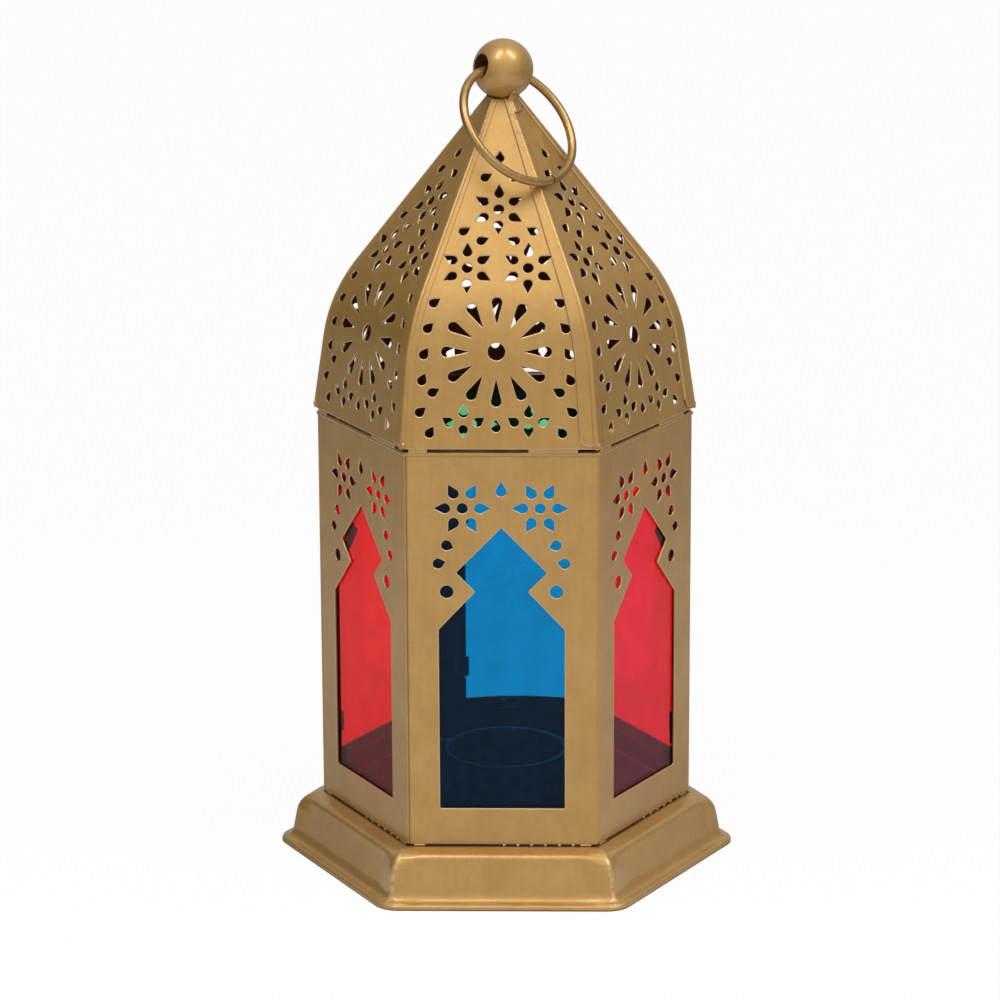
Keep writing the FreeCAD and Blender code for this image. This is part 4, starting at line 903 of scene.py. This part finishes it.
def ridge_strip(along=25, across=21):
    """Profile values are read along the strip. Across it, a point s from the ridge lies |s| tan 30 nearer to
    the axis on the fold, with a small round in its crease, and on a circle of the same reach against the
    ball; the strip passes from one to the other."""
    way = np.linspace(0.0, 1.0, along)
    stops = np.linspace(0.0, 1.0, len(TAB_REACH))
    profiles = (TAB_REACH, TAB_HEIGHT, TAB_LEFT, TAB_RIGHT)
    reach, height, left, right = (np.interp(way, stops, row)[:, None] for row in profiles)
    aside = -left + (left + right) * np.linspace(0.0, 1.0, across)
    bent = reach - (np.sqrt(aside * aside + TAB_CREASE ** 2) - TAB_CREASE) * RIDGE_SLOPE
    round_ball = np.sqrt(reach * reach - aside * aside)
    out = bent + (round_ball - bent) * soft_step(way[:, None], *TAB_FLATTENS)
    x = out * math.cos(TAB_ANGLE) - aside * math.sin(TAB_ANGLE)
    y = out * math.sin(TAB_ANGLE) + aside * math.cos(TAB_ANGLE)
    points = np.stack(np.broadcast_arrays(x, y, height), axis=-1)
    return points, grid_quads(along, across)[:, ::-1].tolist()


tab = add_mesh("crown_tab", *ridge_strip(), gold_sheet)
wall = tab.modifiers.new("wall", "SOLIDIFY")
wall.thickness = TAB_WALL
wall.offset = -1.0
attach(tab, "lantern")
print("crown_tab:", len(tab.data.polygons), "faces before its wall")

# %% [markdown]
# ## The floor's disc
# The lantern stands on a plain floor that reaches past the edges of the picture. A plane would do, but a
# wide disc looks the same from every side.

# %% Cut the floor
FLOOR_RADIUS = 6.0
FLOOR_MIDDLE = 0.02
FLOOR_RINGS = 12
FLOOR_STEPS = 64


def disc_grid(radius, rings, steps):
    """Points (r cos a, r sin a, 0) on a grid of radius and angle, the quads between them, and a middle."""
    reach = np.linspace(FLOOR_MIDDLE, radius, rings)
    angle = np.linspace(0.0, 2 * math.pi, steps, endpoint=False)
    reach, angle = np.meshgrid(reach, angle, indexing="ij")
    points = np.stack([reach * np.cos(angle), reach * np.sin(angle), np.zeros_like(reach)], axis=-1)
    return points, grid_quads(rings, steps, wrap_columns=True).tolist() + [list(range(steps))]


disc = disc_grid(FLOOR_RADIUS, FLOOR_RINGS, FLOOR_STEPS)
print("floor:", len(disc[1]), "faces")

# %% [markdown]
# ## The floor's white
# A floor that is lit until it is white would flood the lantern with light. This one shines white only towards the
# camera and through glass, where a trace of the plain grey surface under it keeps the shadow, and less in a
# reflection. For the light that falls on the lantern it is only that grey surface: a painted pool of light in
# front, darker far away, and a painted shadow close beside and behind the lantern, so that the panes mirror less
# of it.

# %% Lay the floor
# Soft borders in millimetres on the floor, and the greys that they part
POOL_AHEAD_MM = 380.0
POOL_FADES = (260.0, 880.0)
SHADE_STARTS = (-90.0, 30.0)
SHADE_FADES = (90.0, 380.0)
SHADE_IN_FRONT = 0.15
SHADE_WEIGHT = 0.6
POOL_GREY = 0.82
FAR_GREY = 0.30
SHADE_GREY = 0.20
# Shares of its own white: seen straight, mirrored, and what a mirrored one loses far away and in the shade
OWN_WHITE = 0.97
MIRRORED_WHITE = 0.31
FAR_LOSS = 0.28
SHADE_LOSS = 0.7


def grey(share):
    """A colour without a hue."""
    return (share, share, share, 1.0)


def seen_share(start, glossy):
    """One for rays that look at the surface straight or through glass, and less for a reflection."""
    sees = start.make("ShaderNodeLightPath", {}, {}, output="Is Camera Ray")
    through = start.make("ShaderNodeLightPath", {}, {}, output="Is Transmission Ray")
    mirrored = start.make("ShaderNodeLightPath", {}, {}, output="Is Glossy Ray")
    return (sees + through + mirrored * glossy).clamped()


def white_floor(name):
    """Pale floor: mostly its own white towards the camera, with the shadow of the plain surface under it."""
    material, start = new_finish(name)
    x, y, _ = split(place_mm(start))
    behind = (y + POOL_AHEAD_MM).math("MAXIMUM", 0.0)
    far = from_axis(x, behind).between(*POOL_FADES)
    beside = y.between(*SHADE_STARTS) * (1.0 - SHADE_IN_FRONT) + SHADE_IN_FRONT
    near = (1.0 - from_axis(x, y).between(*SHADE_FADES)) * beside
    # painted pool of light in front, darker far away, then the painted shadow of the lantern close beside and
    # behind it
    colour = start.blend(far, grey(POOL_GREY), grey(FAR_GREY))
    colour = start.blend(near * SHADE_WEIGHT, colour, grey(SHADE_GREY))
    plain = start.make("ShaderNodeBsdfDiffuse", {}, {"Color": colour})
    white = start.make("ShaderNodeEmission", {}, {"Color": grey(1.0), "Strength": 1.0})
    # the mirrored white follows the same painted pool of light and painted shadow
    mirrored = (MIRRORED_WHITE - far * FAR_LOSS) * (1.0 - near * SHADE_LOSS)
    share = seen_share(start, mirrored) * OWN_WHITE
    show(start, start.make("ShaderNodeMixShader", {}, {0: share, 1: plain, 2: white}))
    return material


floor = add_mesh("floor", *disc, white_floor("white_floor"), smooth=False)
print("floor laid:", floor.name, "with", floor.data.materials[0].name)

# %% [markdown]
# ## Soft boxes
# Two soft boxes hang over the lantern, and the ball mirrors them as two highlights: where a highlight lies
# on a ball tells where its lamp hangs. Lamps can be moved until the highlights fit, but it is quicker to
# work backwards from the ball. Each box is turned towards the middle of the lantern.

# %% Hang the soft boxes
MIDDLE = (0.0, 0.0, 0.15)
BOX_WIDTH = 0.32
BOX_HEIGHT = 0.80
# Place in metres and power in watts
SOFT_BOXES = {
    "box_over_left": ((-0.30, -0.49, 1.44), 5.0),
    "box_over_right": ((0.61, -0.34, 1.37), 5.2),
}


def soft_box(name, place, power):
    """A soft box at a place: turned about the axis by where it hangs, then leant by how far out it hangs."""
    data = bpy.data.lights.new(name, "AREA")
    data.shape = "RECTANGLE"
    data.size = BOX_WIDTH
    data.size_y = BOX_HEIGHT
    data.energy = power
    lamp = bpy.data.objects.new(name, data)
    lamp.location = place
    away = np.subtract(place, MIDDLE)
    turn = math.atan2(away[0], -away[1])
    lean = math.atan2(math.hypot(away[0], away[1]), away[2])
    lamp.rotation_euler = (lean, 0.0, turn)
    bpy.context.scene.collection.objects.link(lamp)
    return lamp


lamps = [soft_box(name, *setting) for name, setting in SOFT_BOXES.items()]
print("lights:", [lamp.name for lamp in lamps])

# %% [markdown]
# ## The world
# The world stands for the rest of the room. Seen straight or through glass it is plain white, as the
# background of a studio picture is. As light it is dim at the sides, a little brighter from the right,
# brighter from behind and above, and brightest from the front. More lamps could do that too, but each
# would add a highlight of its own.

# %% Light the world
SIDE_LIGHT = 0.16
FRONT_LIGHT = 0.54
OVER_LIGHT = 0.42
RIGHT_LIGHT = 0.13
BACK_LIGHT = 0.24
# Soft borders in the part of a direction that points to the front, up or back
FRONT = (-0.2, 0.9)
OVER = (0.30, 0.90)
BACK = (0.45, 0.95)


def studio_world(name):
    """White to the eye; as light, the sum of a side light and the shares of front, back, top and right."""
    world = bpy.data.worlds.new(name)
    world.use_nodes = True
    world.node_tree.nodes.clear()
    start = Wire(world.node_tree)
    x, y, z = split(start.make("ShaderNodeTexCoord", {}, {}, output="Generated"))
    front_and_back = (y * -1.0).between(*FRONT) * FRONT_LIGHT + y.between(*BACK) * BACK_LIGHT
    light = front_and_back + z.between(*OVER) * OVER_LIGHT + x * RIGHT_LIGHT + SIDE_LIGHT
    strength = light + seen_share(start, 0.0) * (1.0 - light)
    shine = start.make("ShaderNodeBackground", {}, {"Color": grey(1.0), "Strength": strength})
    start.make("ShaderNodeOutputWorld", {}, {"Surface": shine})
    return world


bpy.context.scene.world = studio_world("studio")
bpy.context.scene.view_settings.view_transform = "Standard"
print("world:", bpy.context.scene.world.name)

# %% [markdown]
# The dressed lantern has to stay within the box of the CAD model.
